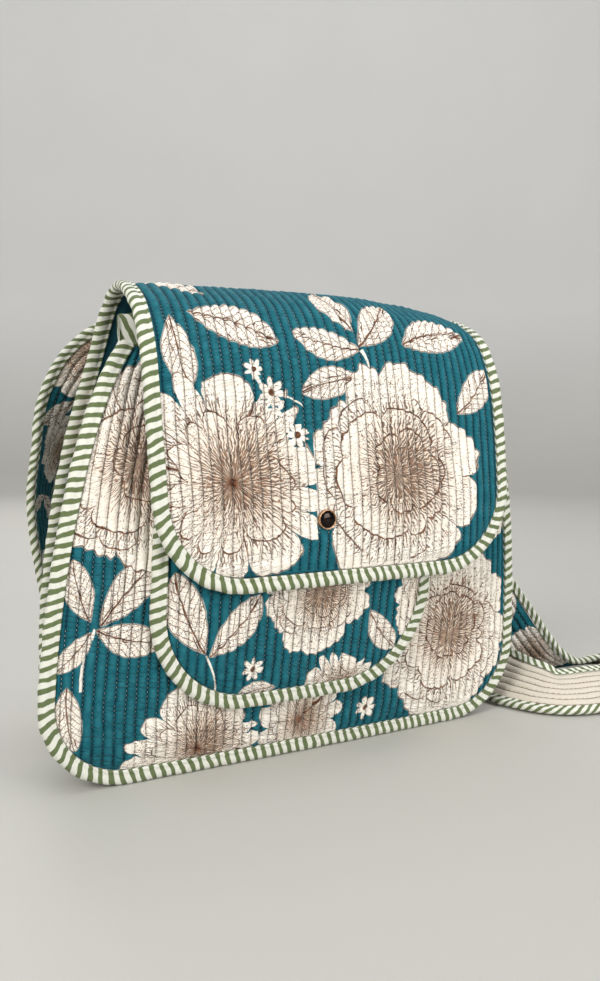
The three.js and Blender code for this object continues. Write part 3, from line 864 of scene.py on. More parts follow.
# Leaves and stems as shares of their length, and how far from a flower or leaf its drawing may reach.
LEAF_WIDE = 0.74
LEAF_FOOT = 0.95
LEAF_TIP = 0.8
LEAF_BEND = 0.2
LEAF_REACH = 6.0
STEM_WIDE = 0.014
STEM_CODE = 0.75
FLOWER_REACH = 1.25
FAR_AWAY = 9.0


def lobes(angle, count, power):
    """Rounded petals round a flower: 1 at a petal's tip and 0 between two petals."""
    return abs((angle * (count / 2)).cos()).most(TINY) ** power


def line(distance, reach):
    """1 away from a drawn line and 0 on it."""
    return abs(distance).over(reach, 0.008)


def inked(rims, roots, streak):
    """Ink of a flower: its lines, and fine strokes where its petals have their roots."""
    hatch = (streak + roots * 0.52).over(0.97, 0.10)
    return (1 - rims).most(hatch * 0.85)


def open_flower(radius, angle, heart, swirl, sway, streak):
    """A full round flower: rings of lobed petals with fine ink strokes at their roots."""
    first = angle + swirl * 1.3
    second = angle + sway * 1.6 + 0.9
    ragged = 0.014 * (angle * 37 + sway * 20).cos()
    edge = 0.79 + 0.16 * lobes(first, 8, 0.45) + sway * 0.26 + ragged
    outer = 0.66 + 0.11 * lobes(second, 7, 0.5) + swirl * 0.20
    middle = 0.47 + 0.13 * lobes(angle + swirl * 1.8 + 0.6, 6, 0.5) - sway * 0.20
    inner = 0.27 + 0.10 * lobes(angle - swirl * 1.5 + 0.2, 5, 0.5) + sway * 0.10
    shape = (edge - radius).over(0.0, 0.012)
    rims = line(radius - middle, 0.008).least(line(heart - inner, 0.008))
    rims = rims.least((edge - radius).over(0.012, 0.008))
    rims = rims.least(line(radius - outer, 0.007).most((swirl + sway).over(0.02, 0.02)))
    cleft = lobes(first, 8, 1.0) * radius
    rims = rims.least(cleft.over(0.022, 0.02).most((outer - radius).over(-0.02, 0.02)))
    cleft = lobes(second, 7, 1.0) * radius
    between = (middle - radius).over(-0.01, 0.02).most((radius - outer).over(0.0, 0.02))
    rims = rims.least(cleft.over(0.02, 0.02).most(between))
    roots = (radius - middle).near(0.0, 0.30) * (radius - middle).over(0.0, 0.01) * 0.8
    roots = roots.most((heart - inner).near(0.0, 0.34) * (heart - inner).over(0.0, 0.01))
    roots = roots.most((0.44 - heart).over(0.0, 0.5) * 1.2).most((radius - outer).near(0.0, 0.14) * 0.6)
    return shape, inked(rims, roots, streak)


def ray_flower(radius, angle, heart, swirl, sway, streak):
    """A flower of long petals in two tiers, with lines running down each petal to the middle."""
    turned = angle + swirl
    edge = 0.66 + 0.30 * lobes(turned, 15, 0.5) * (1 + sway * 1.2) + sway * 0.24
    inner = 0.40 + 0.22 * lobes(turned + 0.3, 12, 0.6) + sway * 0.2
    shape = (edge - radius).over(0.0, 0.012)
    rims = line(radius - inner, 0.008).least((edge - radius).over(0.011, 0.008))
    cleft = lobes(turned, 15, 1.0) * radius
    rims = rims.least(cleft.over(0.035, 0.03).most((inner - radius).over(0.0, 0.02)))
    spine = abs((turned * 22.5).sin()) * radius
    reach = 0.74 + sway * 0.5
    rims = rims.least(spine.over(0.055, 0.05).most((radius - reach).over(0.0, 0.02)))
    roots = (radius - inner).near(0.0, 0.34) * (radius - inner).over(0.0, 0.01) * 0.8
    roots = roots.most((0.46 - heart).over(0.0, 0.5) * 1.15)
    return shape, inked(rims, roots, streak)


def small_flower(radius, angle, swirl):
    """A small starry blossom."""
    edge = 0.42 + 0.55 * lobes(angle + swirl * 0.6, 7, 0.9)
    shape = (edge - radius).over(0.0, 0.05)
    ink = (0.24 - radius).over(0.0, 0.06).most((0.06 - abs(edge - radius)).over(0.0, 0.05) * 0.9)
    return shape, ink


def leaf_shape(along, across, streak, leafy):
    """A pointed leaf with a midrib and slanted side veins, or a bare stem where it isn't leafy."""
    inside = along.most(0.0).least(1.0)
    width = LEAF_WIDE * inside.most(TINY) ** LEAF_FOOT * (1 - inside).most(TINY) ** LEAF_TIP
    width = width * leafy + (1 - leafy) * 0.026
    aside = abs(across)
    shape = (width - aside).over(0.0, 0.014) * along.over(0.0, 0.01) * (1 - along).over(0.0, 0.01)
    rib = (aside + along * 0.006).over(0.012, 0.008)
    vein = ((along - aside * 1.25 + streak * 0.05) * 8.5).fract()
    veins = abs(vein - 0.5).over(0.055, 0.05)
    net = abs(((along + aside * 0.7) * 17).fract() - 0.5).over(0.05, 0.06).most(streak.over(0.5, 0.1))
    rims = rib.least(veins).least(net).least((width - aside).over(0.012, 0.01))
    shaded = (0.10 - aside).over(0.0, 0.16) * 0.26 + across.over(0.0, 0.1) * 0.08
    hatch = (streak + shaded).over(0.88, 0.08)
    return shape, (1 - rims).most(hatch) * shape * leafy


def flowers_drawn(fin, wobble):
    """Shape and ink of the flowers, and the wash in the middle of the large ones."""
    fx, fy, code = fin.vector("flower")
    fx = fx + wobble * 0.06
    fy = fy + wobble * 0.05
    kind = (code + 0.001).floor()
    seed = code.fract()
    radius = (fx * fx + fy * fy + TINY / 10).root()
    hx, hy = fx - 0.09, fy + 0.07
    heart = (hx * hx + hy * hy + TINY / 10).root()
    angle = fy.math("ARCTAN2", fx)
    ux, uy = fx / radius, fy / radius
    swirl = fin.noise((ux * 1.3 + seed * 41, uy * 1.3, seed * 23), 1.0, 1.0) - 0.5
    sway = fin.noise((ux - seed * 29, uy, seed * 37 + 4), 1.0, 1.0) - 0.5
    streak = fin.noise((ux * 34 + seed * 11, uy * 34, radius * 18.0), 1.0, 1.0, 0.6)
    wander = fin.noise((ux * 6, uy * 6, radius * 14 + seed * 7), 1.0, 1.0) * 14
    strokes = 46 * (1 + radius.over(0.26, 0.004) + radius.over(0.5, 0.004) + radius.over(0.74, 0.004))
    streak = streak + (angle * strokes + wander).cos() * 0.21
    drawings = (
        open_flower(radius, angle, heart, swirl, sway, streak),
        ray_flower(radius, angle, heart, swirl, sway, streak),
        small_flower(radius, angle, swirl),
    )
    flower, ink = 0.0, 0.0
    for number, (shape, lines) in enumerate(drawings, 1):
        here = (1 - abs(kind - number)).most(0.0)
        flower = shape * here + flower
        ink = lines * here + ink
    washed = (0.42 - heart).over(0.0, 0.5) * (2.5 - kind).over(0.0, 0.1) * flower
    return flower, ink, washed


def leaves_drawn(fin, wobble):
    """Shape and ink of the leaves and stems."""
    along, across, code = fin.vector("leaf")
    streak = fin.noise((along * 4.0, across * 46, code), 1.0, 1.5, 0.6)
    shape, ink = leaf_shape(along + wobble * 0.05, across + wobble * 0.03, streak, code.over(0.9, 0.1))
    return shape * code.over(0.5, 0.1), ink


def tugged(along):
    """How the stitches tug at the cloth along a seam, from 0 to 1."""
    return (along * (2 * math.pi / STITCH_PITCH)).sin() * 0.5 + 0.5


def printed_quilt(name):
    """Printed cotton: cream flowers and leaves drawn in brown on teal, sewn in narrow channels, with painted
    shade in the valleys and a painted highlight on the channel crowns.
    """
    fin = Finish(name)
    cx, cy, rib = fin.vector("cloth")
    wobble = fin.noise((cx, cy, 3.0), 0.16) - 0.5
    flower, flower_ink, washed = flowers_drawn(fin, wobble)
    leaf, leaf_ink = leaves_drawn(fin, wobble)
    shape = flower.most(leaf)
    ink = flower_ink * flower + leaf_ink * leaf * (1 - flower)
    freckle = (0.27 - fin.cells((cx, cy, 0.0), 0.8)).over(0.0, 0.06)
    freckle = freckle * fin.noise((cx, cy, 9.0), 0.06).over(0.47, 0.08)
    ink = ink.most(freckle * 0.9)
    worn = fin.noise((cx, cy, 1.0), 0.35, 3.0)
    ground = fin.mix(worn.over(0.5, 0.5), TEAL, TEAL_DEEP)
    # Painted highlight: lighter teal on the crowns of the channels, in uneven patches.
    crown_highlight_patches = fin.noise((cx * 0.10, cy * 0.16, 4.0), 1.0, 3.0).over(0.5, 0.3)
    ground = fin.mix(rib.over(0.86, 0.28) * crown_highlight_patches * 0.5, ground, TEAL_CROWN_HIGHLIGHT)
    pale = fin.mix(worn.over(0.55, 0.4), CREAM, CREAM_SHADE)
    stroke = fin.mix(worn.over(0.55, 0.3), INK, INK_LIGHT)
    drawn = fin.mix(ink, fin.mix(washed * 0.55, pale, WASH), stroke)
    colour = fin.mix(shape, ground, drawn)
    tug = tugged(cy)
    valley = (0.36 + tug * 0.2 - shape * (0.13 + tug * 0.08) - rib).over(0.0, 0.24)
    shade = fin.mix(shape, TEAL_SHADOW, CREAM_SHADOW)
    colour = fin.mix(valley * (0.92 - shape * 0.2), colour, shade, "MULTIPLY")
    fuzz = fin.noise((cx * 2.0, cy * 0.7, 5.0), 1.2, 3.0)
    pucker = tug * (0.62 - rib).over(0.0, 0.4)
    crease = abs(fin.noise((cx * 0.035, cy * 0.16 + cx * 0.03, 6.0)) - 0.5).near(0.0, 0.05)
    crease = crease * fin.noise((cx, cy, 8.0), 0.016, 1.0).over(0.46, 0.12)
    height = fin.weave(cx, cy, PRINT_WEAVE) * 0.25 + fuzz * 0.35 - pucker * 1.3 - crease * 2.7
    rough = 0.78 + worn * 0.14
    return fin.finish(colour, rough, height, depth=0.0007, strength=0.6,
                      Sheen_Weight=0.04, Sheen_Roughness=0.5, Specular_IOR_Level=0.16)


def striped_band(name):
    """White cotton with slanted olive stripes, folded over the edges."""
    fin = Finish(name)
    along, around, slant = fin.vector("band")
    drift = fin.noise((along, around, 2.0), 0.09) - 0.5
    phase = (along + around * slant + drift * 4.0) / STRIPE_PITCH
    edge = fin.noise((along * 1.5, around * 1.5, 0.0)) - 0.5
    stripe = (abs(phase.fract() - 0.5) + edge * 0.06).over(0.265, 0.05)
    worn = fin.noise((along, around, 7.0), 0.5, 3.0)
    green = fin.mix(worn, BAND_GREEN, BAND_GREEN_WORN)
    white = fin.mix(worn, BAND_WHITE, BAND_WHITE_WORN)
    fuzz = fin.noise((along * 0.8, around * 0.8, 4.0), 1.1, 3.0)
    height = fin.weave(along, around, BAND_WEAVE) * 0.4 + fuzz * 0.6
    return fin.finish(fin.mix(stripe, white, green), 0.78 + worn * 0.15, height, depth=0.0005, strength=0.5,
                      Sheen_Roughness=0.5, **DULL)


def cream_backing(name):
    """Plain unprinted cotton on the strap's other face, sewn in channels."""
    fin = Finish(name)
    cx, cy, rib = fin.vector("cloth")
    worn = fin.noise((cx, cy, 1.0), 0.12, 3.0)
    slub = fin.noise((cx * 3.0, cy * 0.5, 2.0))
    pale = fin.mix(worn, PLAIN_CREAM, PLAIN_CREAM_WORN)
    pale = fin.mix(slub.over(0.66, 0.2) * 0.35, pale, PLAIN_CREAM_SLUB)
    tug = tugged(cy)
    valley = (0.26 + tug * 0.16 - rib).over(0.0, 0.24)
    colour = fin.mix(valley * 0.85, pale, CREAM_SHADOW, "MULTIPLY")
    height = fin.weave(cx, cy, PLAIN_WEAVE) * 0.4 + slub * 0.3 - tug * (0.62 - rib).over(0.0, 0.4)
    return fin.finish(colour, 0.78 + worn * 0.12, height, depth=0.0006, strength=0.6, **DULL)


def plain_lining(name):
    """Deep teal cotton lining in a plain weave."""
    fin = Finish(name)
    cx, cy, _ = fin.vector("cloth")
    worn = fin.noise((cx, cy, 0.0), 0.12, 3.0)
    colour = fin.mix(worn, LINING, TEAL_DEEP)
    height = fin.weave(cx, cy, PLAIN_WEAVE)
    return fin.finish(colour, 0.82 + worn * 0.1, height, depth=0.0004, strength=0.5, **DULL)


def sewing_thread(name):
    """Twisted cotton sewing thread."""
    fin = Finish(name)
    twist = fin.noise(fin.place(), 1800.0)
    colour = fin.mix(twist, THREAD, THREAD_LIT)
    return fin.finish(colour, 0.6 + twist * 0.2, twist, depth=0.0001, strength=0.4, Specular_IOR_Level=0.3)


def stud_metal(name):
    """Dark polished cap with a copper rim."""
    fin = Finish(name)
    across, _, _ = fin.vector("turned")
    scuff = fin.noise(fin.place(), 900.0, 3.0)
    rim = across.over(5.5, 0.2)
    colour = fin.mix(rim, CAP_DARK, CAP_RIM)
    rough = 0.12 + rim * 0.14 + scuff.over(0.62, 0.2) * 0.12
    return fin.finish(colour, rough, scuff, depth=0.00005, strength=0.2, Metallic=1.0)


def plain_brass(name):
    """Dull brass with fine scuffs."""
    fin = Finish(name)
    scuff = fin.noise(fin.place(), 1100.0, 3.0)
    colour = fin.mix(scuff, BRASS, BRASS_LIT)
    return fin.finish(colour, 0.28 + scuff * 0.16, scuff, depth=0.00005, strength=0.2, Metallic=1.0)


def stage_finish(name):
    """A matt painted surface, one tone on the floor and another up the wall."""
    fin = Finish(name)
    place = fin.place()
    tint = fin.noise(place, 3.0, 3.0)
    colour = fin.mix(fin.parts(place)[2].over(0.35, 0.6), FLOOR, WALL_PAINT)
    return fin.finish(fin.mix(tint * 0.08, colour, FLOOR_TINT), 0.6 + tint * 0.1)


# The print: flowers by centre and size, leaves from stem to tip, in each piece's own cloth millimetres.
FLOWER_KINDS = dict(open=1, ray=2, small=3)
FLOWER_COLUMNS = "kind x y size turn"
LEAF_COLUMNS = "x y tip_x tip_y stem"
FLAP_FLOWERS = table(FLOWER_COLUMNS, [
    ("open", 34, 456, 75, 0.4),
    ("ray", -86, 458, 70, 0.2),
    ("small", -66, 390, 7, 0.0),
    ("small", -55, 404, 10, 1.0),
    ("small", -39, 430, 9, 0.5),
    ("open", -62, 165, 64, 1.9),
    ("ray", 74, 92, 56, 0.9),
    ("open", 86, 222, 48, 2.6),
    ("ray", -112, 52, 44, 2.2),
    ("small", 8, 60, 10, 0.3),
    ("small", 22, 172, 9, 0.8),
])
FLAP_LEAVES = table(LEAF_COLUMNS, [
    (-84, 330, -120, 304, False),
    (-104, 354, -45, 373, False),
    (-116, 357, -108, 403, False),
    (13, 376, -34, 365, False),
    (13, 374, 50, 331, False),
    (11, 364, 2, 314, False),
    (10, 394, -34, 404, False),
    (50, 370, 110, 352, False),
    (91, 413, 123, 376, False),
    (14, 376, 24, 412, True),
    (-66, 392, -40, 428, True),
    (-54, 404, -34, 412, True),
    (-20, 262, -74, 270, False),
    (-18, 258, 12, 216, False),
    (-16, 264, 26, 284, False),
    (-6, 112, -52, 84, False),
    (-4, 110, 18, 146, False),
    (118, 168, 142, 128, False),
    (-112, 100, -140, 130, False),
    (-26, 30, 30, 24, False),
    (70, 282, 116, 296, False),
])
FRONT_FLOWERS = table(FLOWER_COLUMNS, [
    ("open", -134, 194, 66, 0.9),
    ("ray", -84, 16, 46, 1.2),
    ("open", 112, 66, 66, 2.0),
    ("ray", -10, 24, 33, 0.5),
    ("open", 30, 150, 52, 1.1),
    ("ray", -40, 220, 50, 2.4),
    ("ray", 126, 206, 44, 0.1),
    ("small", 44, 24, 9, 0.0),
])
FRONT_LEAVES = table(LEAF_COLUMNS, [
    (-149, 100, -112, 140, False),
    (-152, 98, -108, 87, False),
    (-155, 103, -168, 140, False),
    (-166, 66, -160, 26, False),
    (-154, 97, -174, 74, False),
    (-152, 99, -158, 62, True),
    (-60, 110, -40, 74, False),
    (60, 222, 96, 250, False),
    (56, 216, 20, 244, False),
    (152, 132, 172, 164, False),
])
POCKET_FLOWERS = table(FLOWER_COLUMNS, [
    ("open", -10, 112, 42, 0.3),
    ("ray", 14, 40, 32, 1.8),
    ("open", 84, 98, 34, 1.4),
    ("ray", -60, 170, 40, 0.2),
    ("small", -52, 66, 8, 0.7),
])
POCKET_LEAVES = table(LEAF_COLUMNS, [
    (-85, 79, -106, 130, False),
    (-82, 77, -50, 113, False),
    (-84, 78, -76, 54, True),
    (32, 96, 58, 66, False),
    (30, 150, 62, 176, False),
    (-34, 52, -62, 48, False),
])


def strewn(length, reach, every, size, seed):
    """Flowers and leaves strewn along a narrow strip, in turn from side to side."""
    flowers, leaves = [], []
    for k in range(int(length / every) + 1):
        side = -1 if k % 2 else 1
        kind = "open" if (k * 5 + int(seed * 10)) % 3 else "ray"
        grown = size * (1 + 0.22 * math.sin(2.3 * k + seed))
        y = every * (k + 0.35) + 0.14 * every * math.sin(1.9 * k + 3 * seed)
        flowers.append((kind, side * reach * (0.25 + 0.3 * (k % 3)), y, grown, seed + 1.7 * k))
        foot = -side * reach * 0.1
        start = y + every * 0.44
        leaves.append((foot, start, side * reach * 0.9, start + size * 0.75, False))
        leaves.append((foot, start, -side * reach * 0.95, start + size * 0.3, False))
    return table(FLOWER_COLUMNS, flowers), table(LEAF_COLUMNS, leaves)


def lay_flowers(piece, cx, cy, flowers):
    """Give each face of a cloth the flower nearest to it, in that flower's own coordinates."""
    mid_x, mid_y = cx.mean(axis=1), cy.mean(axis=1)
    drawn = np.zeros((*cx.shape, 3))
    drawn[..., 0] = FAR_AWAY
    nearest = np.full(len(cx), FLOWER_REACH)
    for k, row in enumerate(flowers):
        far = np.hypot(mid_x - row["x"], mid_y - row["y"]) / row["size"]
        here = far < nearest
        nearest[here] = far[here]
        dx = (cx[here] - row["x"]) / row["size"]
        dy = (cy[here] - row["y"]) / row["size"]
        cos, sin = math.cos(row["turn"]), math.sin(row["turn"])
        drawn[here, :, 0] = dx * cos + dy * sin
        drawn[here, :, 1] = dy * cos - dx * sin
        drawn[here, :, 2] = FLOWER_KINDS[row["kind"]] + 0.05 + 0.09 * (k % 10)
    vectors(piece, "flower", drawn, "CORNER")


def lay_leaves(piece, cx, cy, leaves):
    """Give each face of a cloth the leaf or stem nearest to it, in that leaf's own coordinates."""
    mid_x, mid_y = cx.mean(axis=1), cy.mean(axis=1)
    drawn = np.zeros((*cx.shape, 3))
    drawn[..., 1] = FAR_AWAY
    nearest = np.full(len(cx), LEAF_REACH)
    for k, row in enumerate(leaves):
        way = np.array([row["tip_x"] - row["x"], row["tip_y"] - row["y"]], float)
        size = np.hypot(*way)
        way = way / size
        bend = LEAF_BEND if k % 2 else -LEAF_BEND

        def local(x, y):
            dx, dy = (x - row["x"]) / size, (y - row["y"]) / size
            along = dx * way[0] + dy * way[1]
            across = dy * way[0] - dx * way[1] + bend * along * (1 - along)
            return along, across

        along, across = local(mid_x, mid_y)
        inside = np.clip(along, 0, 1)
        width = STEM_WIDE if row["stem"] else LEAF_WIDE * inside ** LEAF_FOOT * (1 - inside) ** LEAF_TIP
        far = np.hypot(np.maximum(np.abs(along - 0.5) - 0.5, 0), across) - width
        far = far * size
        here = far < nearest
        nearest[here] = far[here]
        drawn[here, :, 0], drawn[here, :, 1] = local(cx[here], cy[here])
        drawn[here, :, 2] = STEM_CODE if row["stem"] else 1 + 0.37 * k
    vectors(piece, "leaf", drawn, "CORNER")


def stitch_tree():
    """Node tree that lays one small thread loop on every point, turned along its seam."""
    tree = bpy.data.node_groups.new("sewn_stitches", "GeometryNodeTree")
    face = tree.interface
    face.new_socket("Geometry", in_out="INPUT", socket_type="NodeSocketGeometry")
    for name in ("Length", "Width", "Height"):
        face.new_socket(name, in_out="INPUT", socket_type="NodeSocketFloat")
    face.new_socket("Thread", in_out="INPUT", socket_type="NodeSocketMaterial")
    face.new_socket("Geometry", in_out="OUTPUT", socket_type="NodeSocketGeometry")

    def new(kind, **links):
        made = tree.nodes.new(kind)
        for name, socket in links.items():
            tree.links.new(socket, made.inputs[name])
        return made

    given = new("NodeGroupInput").outputs
    bead = new("GeometryNodeMeshUVSphere")
    for name, value in (("Radius", 0.5), ("Segments", 4), ("Rings", 3)):
        bead.inputs[name].default_value = value
    size = new("ShaderNodeCombineXYZ", X=given["Length"], Y=given["Width"], Z=given["Height"])
    shaped = new("GeometryNodeTransform", Geometry=bead.outputs["Mesh"], Scale=size.outputs[0])
    turn = new("GeometryNodeInputNamedAttribute")
    turn.data_type = "FLOAT_VECTOR"
    turn.inputs["Name"].default_value = "turn"
    angle = new("FunctionNodeEulerToRotation", Euler=turn.outputs["Attribute"])
    laid = new("GeometryNodeInstanceOnPoints", Points=given["Geometry"], Instance=shaped.outputs["Geometry"],
               Rotation=angle.outputs[0])
    real = new("GeometryNodeRealizeInstances", Geometry=laid.outputs["Instances"])
    soft = new("GeometryNodeSetShadeSmooth", Geometry=real.outputs["Geometry"])
    sewn = new("GeometryNodeSetMaterial", Geometry=soft.outputs["Geometry"], Material=given["Thread"])
    new("NodeGroupOutput", Geometry=sewn.outputs["Geometry"])
    return tree


def sew(name, places, directions, normals, length, width=STITCH_WIDE, height=STITCH_HIGH):
    """Stitches at given places, as one plain mesh."""
    side = unit(np.cross(normals, directions))
    up = np.cross(directions, side)
    turns = np.stack([
        np.arctan2(side[:, 2], up[:, 2]),
        np.arcsin(np.clip(-directions[:, 2], -1, 1)),
        np.arctan2(directions[:, 1], directions[:, 0]),
    ], axis=-1)
    mesh = bpy.data.meshes.new(name + "_places")
    mesh.from_pydata((places * MM).tolist(), [], [])
    holder = placed(name + "_places", mesh)
    vectors(holder, "turn", turns)
    modifier = holder.modifiers.new("sewn_stitches", "NODES")
    modifier.node_group = STITCHES
    given = dict(Length=length * MM, Width=width * MM, Height=height * MM, Thread=STITCHING)
    for item in STITCHES.interface.items_tree:
        if item.name in given:
            modifier[item.identifier] = given[item.name]
    holder.update_tag()
    seen = holder.evaluated_get(bpy.context.evaluated_depsgraph_get())
    made = bpy.data.meshes.new_from_object(seen)
    made.name = name
    holder.modifiers.clear()
    bpy.data.objects.remove(holder)
    piece = placed(name, made)
    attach(piece, "root")


STITCHES = stitch_tree()
PRINT = printed_quilt("printed_quilt")
BAND = striped_band("striped_band")
INSIDE = plain_lining("plain_lining")
STITCHING = sewing_thread("sewing_thread")
METAL = stud_metal("stud_metal")
BACKING = cream_backing("cream_backing")


def narrowing(half, foot):
    """Channels draw together a little where a panel narrows."""
    return lambda v: (half(foot) / half(v)) ** 0.6


def even(half):
    """Half the width of a strip that is as wide all along."""
    return lambda v: np.full_like(v, half)


def beside_pocket(x, v):
    """1 where the front lies free and 0 under the pocket."""
    aside = np.maximum(np.abs(x - POCKET_CENTRE) - POCKET_HALF, POCKET_FOOT - v)
    return smooth((aside - 2) / 14)


def round_snap(x, v):
    """0 under the press stud and 1 away from it."""
    return smooth((np.hypot(x - SNAP_X, v - SNAP_ALONG) - SNAP_PRESS) / SNAP_PRESS_SOFT)


# Each quilted piece with its node, its flowers and leaves, and whether both of its faces are quilted.
QUILTS = [
    (Quilt("quilted_back_flap", back_flap_point, (0.0, FLAP_END), back_flap_cloth_half, -1, FLAP_CHANNEL, 1.0,
           sag=1.3, row_step=FLAP_ROW_STEP, pressed=round_snap),
     "back_flap", FLAP_FLOWERS, FLAP_LEAVES, False),
    (Quilt("quilted_front", front_point, (BINDING_WIDTH, FRONT_TOP), front_cloth_half, 1, FRONT_CHANNEL, 2.0,
           taper=narrowing(front_half, 60.0), sag=1.8, calm=beside_pocket),
     "front_panel", FRONT_FLOWERS, FRONT_LEAVES, False),
    (Quilt("quilted_pocket", pocket_point, (POCKET_FOOT + BINDING_WIDTH, POCKET_TOP), pocket_cloth_half, 1,
           POCKET_CHANNEL, 3.0, centre=POCKET_CENTRE),
     "front_pocket", POCKET_FLOWERS, POCKET_LEAVES, False),
    (Quilt("quilted_gusset", gusset_at, (0.0, GUSSET_LENGTH), even(GUSSET_HALF), 1, GUSSET_CHANNEL, 4.0),
     "gusset", *strewn(GUSSET_LENGTH, 30, 92, 34, 0.4), False),
    (Quilt("quilted_strap", strap_at, (0.0, STRAP_LENGTH), even(STRAP_HALF), 1, STRAP_CHANNEL, 5.0,
           sag=0.25, puff=STRAP_PUFF, stitch=STRAP_STITCH, row_step=STRAP_ROW_STEP),
     "strap", *strewn(STRAP_LENGTH, 20, 78, 29, 1.1), True),
]

for quilt, node, flowers, leaves, both in QUILTS:
    piece, cloth = quilt.build([PRINT, BACKING if both else INSIDE], both)
    lay_flowers(piece, cloth[..., 0] + quilt.centre, cloth[..., 1], flowers)
    lay_leaves(piece, cloth[..., 0] + quilt.centre, cloth[..., 1], leaves)
    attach(piece, "root")
    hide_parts(node)
    long = STITCH_SHARE * quilt.stitch
    sew(node + "_stitches", *quilt.channel_seams(), long)
    if both:
        sew(node + "_back_stitches", *quilt.channel_seams(turned=True), long)
        sew(node + "_end_stitches", *quilt.end_seams(turned=True), long, END_STITCH, END_STITCH)


def corner_rows(corner, count=80):
    """Rows round a corner of an edge, closer together where it turns in."""
    return corner * (1 - np.cos(np.linspace(0, math.pi / 2, count)))


def cup_path(half, start, end, corner, centre=0.0):
    """Sides and foot of a panel's edge, from the top left, round the foot to the top right."""
    rows = np.concatenate([start + corner_rows(corner), np.linspace(start + corner, end, 160)[1:]])
    side = half(rows)
    foot = np.linspace(-side[0], side[0], 120)[1:-1]
    u = centre + np.concatenate([-side[::-1], foot, side])
    v = np.concatenate([rows[::-1], np.full(len(foot), start), rows])
    return u, v


def flap_loop():
    """The whole edge of the back and flap."""
    back = BACK_CORNER - BINDING_WIDTH
    flap = FLAP_CORNER - BINDING_WIDTH
    straight = np.linspace(back, FLAP_END - flap, 420)[1:-1]
    rows = np.concatenate([corner_rows(back), straight, FLAP_END - corner_rows(flap)[::-1]])
    half = back_flap_cloth_half(rows)
    top = np.linspace(half[-1], -half[-1], 120)[1:-1]
    foot = np.linspace(-half[0], half[0], 120)[1:-1]
    u = np.concatenate([half, top, -half[::-1], foot])
    v = np.concatenate([rows, np.full(len(top), FLAP_END), rows[::-1], np.full(len(foot), 0.0)])
    return u, v


def mouth_edge():
    """The front's upper edge, a little longer than its cloth."""
    half = float(front_cloth_half(FRONT_TOP)) + BINDING_WIDTH * 0.9
    across = np.linspace(half, -half, 200)
    return across, np.full_like(across, FRONT_TOP)


def strap_edge(side):
    gone = np.linspace(0, STRAP_LENGTH, 900)
    return np.full_like(gone, side * STRAP_HALF), gone


FRONT_EDGE = cup_path(front_cloth_half, BINDING_WIDTH, FRONT_TOP - 0.5, FRONT_CORNER - BINDING_WIDTH)
POCKET_EDGE = cup_path(pocket_cloth_half, POCKET_FOOT + BINDING_WIDTH, POCKET_TOP,
                       POCKET_CORNER - BINDING_WIDTH, POCKET_CENTRE)
STRAP_BAND = dict(width=STRAP_BINDING, thick=STRAP_BINDING_THICK, slant=STRAP_SLANT, ease=STRAP_EASE)

# Each binding: its node, the cloth it edges, its path, its seed, and what sets it apart.
BANDS = [
    ("flap_binding", back_flap_point, flap_loop(), 1.0, dict(closed=True)),
    ("front_binding", front_point, FRONT_EDGE, 2.0, {}),
    ("mouth_binding", front_point, mouth_edge(), 3.0, dict(width=MOUTH_WIDTH)),
    ("pocket_binding", pocket_point, POCKET_EDGE, 4.0, {}),
    ("strap_binding_a", strap_at, strap_edge(1), 5.0, STRAP_BAND),
    ("strap_binding_b", strap_at, strap_edge(-1), 6.0, dict(STRAP_BAND, turn=-1.0)),
]
for node, point, path, seed, apart in BANDS:
    piece = band("striped_" + node, point, path, seed, **apart)
    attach(piece, "root")
    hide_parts(node)


def snap_cap():
    """The press stud's domed cap with its rolled rim, on the outer face of the flap."""
    x, along = np.array([SNAP_X]), np.array([SNAP_ALONG])
    face = -normal_at(back_flap_point, x, along)[0]
    place = back_flap_point(x, along)[0] + face * (WALL / 2 + GAP)
    side = unit(np.cross(face, np.array([0.0, 0.0, 1.0])))
    up = np.cross(side, face)
    radii = [SNAP_RADIUS, 6.5, 6.44, 6.3, 6.1, 5.9, 5.75, 5.62, 5.5, 5.15, 4.1, 2.8, 1.35]
    heights = [0.0, 0.85, 1.25, 1.6, 1.78, 1.76, 1.62, 1.45, 1.5, 1.72, 2.16, 2.45, 2.57]
    points, turned = [], []
    for radius, height in zip(radii, heights):
        for t in np.linspace(0, 2 * math.pi, SNAP_SIDES, endpoint=False):
            spot = side * (radius * math.cos(t)) + up * (radius * math.sin(t)) + face * height
            points.append(place + spot)
            turned.append((radius, height, 0))
    top, bottom = len(points), len(points) + 1
    at = np.arange(top).reshape(len(radii), SNAP_SIDES)
    points += [place + face * SNAP_DOME, place]
    turned += [(0, SNAP_DOME, 0), (0, 0, 0)]
    caps = []
    for ring, middle in ((at[-1], top), (at[0, ::-1], bottom)):
        shut = np.append(ring, ring[0])
        caps += [(*shut[j:j + 3], middle) for j in range(0, SNAP_SIDES, 2)]
    faces = np.concatenate([ring_faces(at), caps])
    piece, _ = mesh_object("press_stud_cap", np.array(points), faces, [METAL])
    vectors(piece, "turned", np.array(turned))
    return piece


cap = snap_cap()
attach(cap, "root")
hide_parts("snap_cap")
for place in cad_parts["snap_stud"].material_slots:
    place.material = plain_brass("stud_brass")


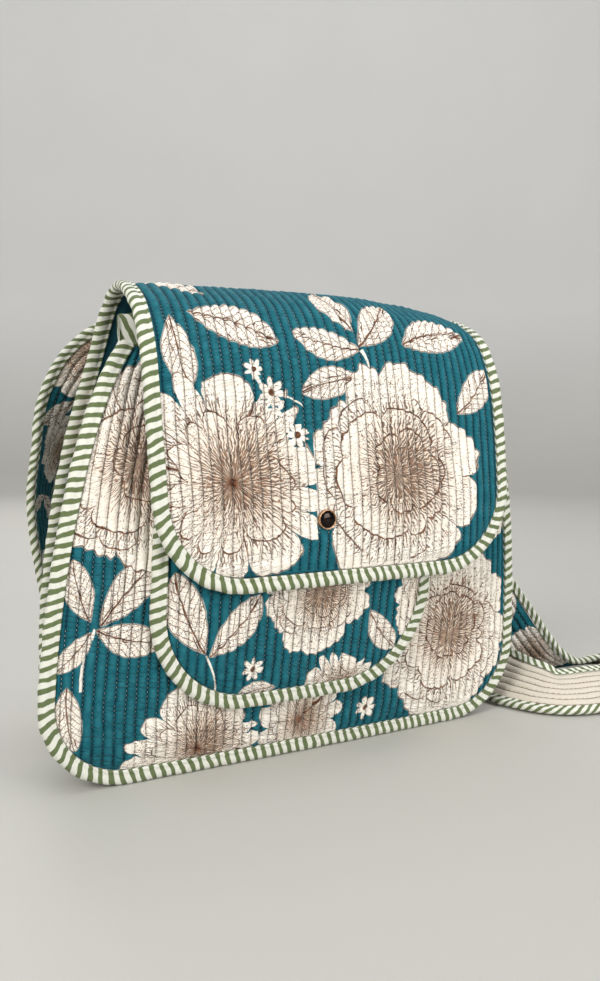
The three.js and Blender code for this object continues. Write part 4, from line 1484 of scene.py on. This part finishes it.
def backdrop():
    """A wide pale floor, in metres, that turns up smoothly into a wall all round."""
    reach, bend, sides = 2.4, 0.8, 96
    profile = [(0.001, 0.0), (1.2, 0.0), (reach, 0.0)]
    for k in range(1, 13):
        turn = math.pi / 2 * k / 12
        profile.append((reach + bend * math.sin(turn), bend - bend * math.cos(turn)))
    profile.append((reach + bend, 3.2))
    turns = np.linspace(0, 2 * math.pi, sides, endpoint=False)
    points = [(r * math.cos(t), r * math.sin(t), z) for r, z in profile for t in turns]
    at = np.arange(len(points)).reshape(len(profile), sides)
    faces = ring_faces(at)[:, ::-1].tolist() + [at[0].tolist()]
    mesh = bpy.data.meshes.new("pale_floor")
    mesh.from_pydata(points, [], faces)
    mesh.polygons.foreach_set("use_smooth", np.ones(len(faces), bool))
    mesh.materials.append(stage_finish("pale_floor"))
    floor = placed("pale_floor", mesh)


backdrop()


def lamp(name, place, aim, size, power, colour=(1, 1, 1)):
    data = bpy.data.lights.new(name, "AREA")
    data.shape = "RECTANGLE"
    data.size, data.size_y = size
    data.energy = power
    data.color = colour
    light = placed(name, data)
    light.location = place
    light.rotation_euler = (Vector(aim) - Vector(place)).to_track_quat("-Z", "Y").to_euler()


lamp("window", (-1.75, -0.95, 1.25), (0.0, 0.0, 0.12), (0.9, 0.9), 35, (1.0, 0.985, 0.96))
lamp("sky", (0.0, -0.4, 2.1), (0.05, 0.1, 0.0), (2.0, 1.6), 18, (0.97, 0.985, 1.0))
lamp("front", (0.7, -1.8, 0.6), (0.02, 0.0, 0.1), (1.0, 0.8), 23)
lamp("behind", (0.5, 1.9, 1.3), (0.0, 0.0, 0.1), (1.2, 1.0), 12)
lamp("wall", (0.7, 1.1, 2.6), (1.7, 2.8, 0.7), (1.6, 1.2), 15)
world = bpy.data.worlds.new("soft_room")
world.use_nodes = True
world.node_tree.nodes["Background"].inputs["Color"].default_value = (0.82, 0.85, 0.9, 1)
world.node_tree.nodes["Background"].inputs["Strength"].default_value = 0.5
bpy.context.scene.world = world
bpy.context.scene.view_settings.view_transform = "Standard"

# The camera stands where the photo was taken from, with the photo's field of view.
view = bpy.data.cameras.new("camera")
view.sensor_width = 36.0
view.lens = 36.0 * 1000 / 981
camera = placed("camera", view)
camera.location = (-0.345, -0.593, 0.220)
camera.rotation_euler = (math.radians(86.0), 0, math.radians(-31.2))
bpy.context.scene.camera = camera
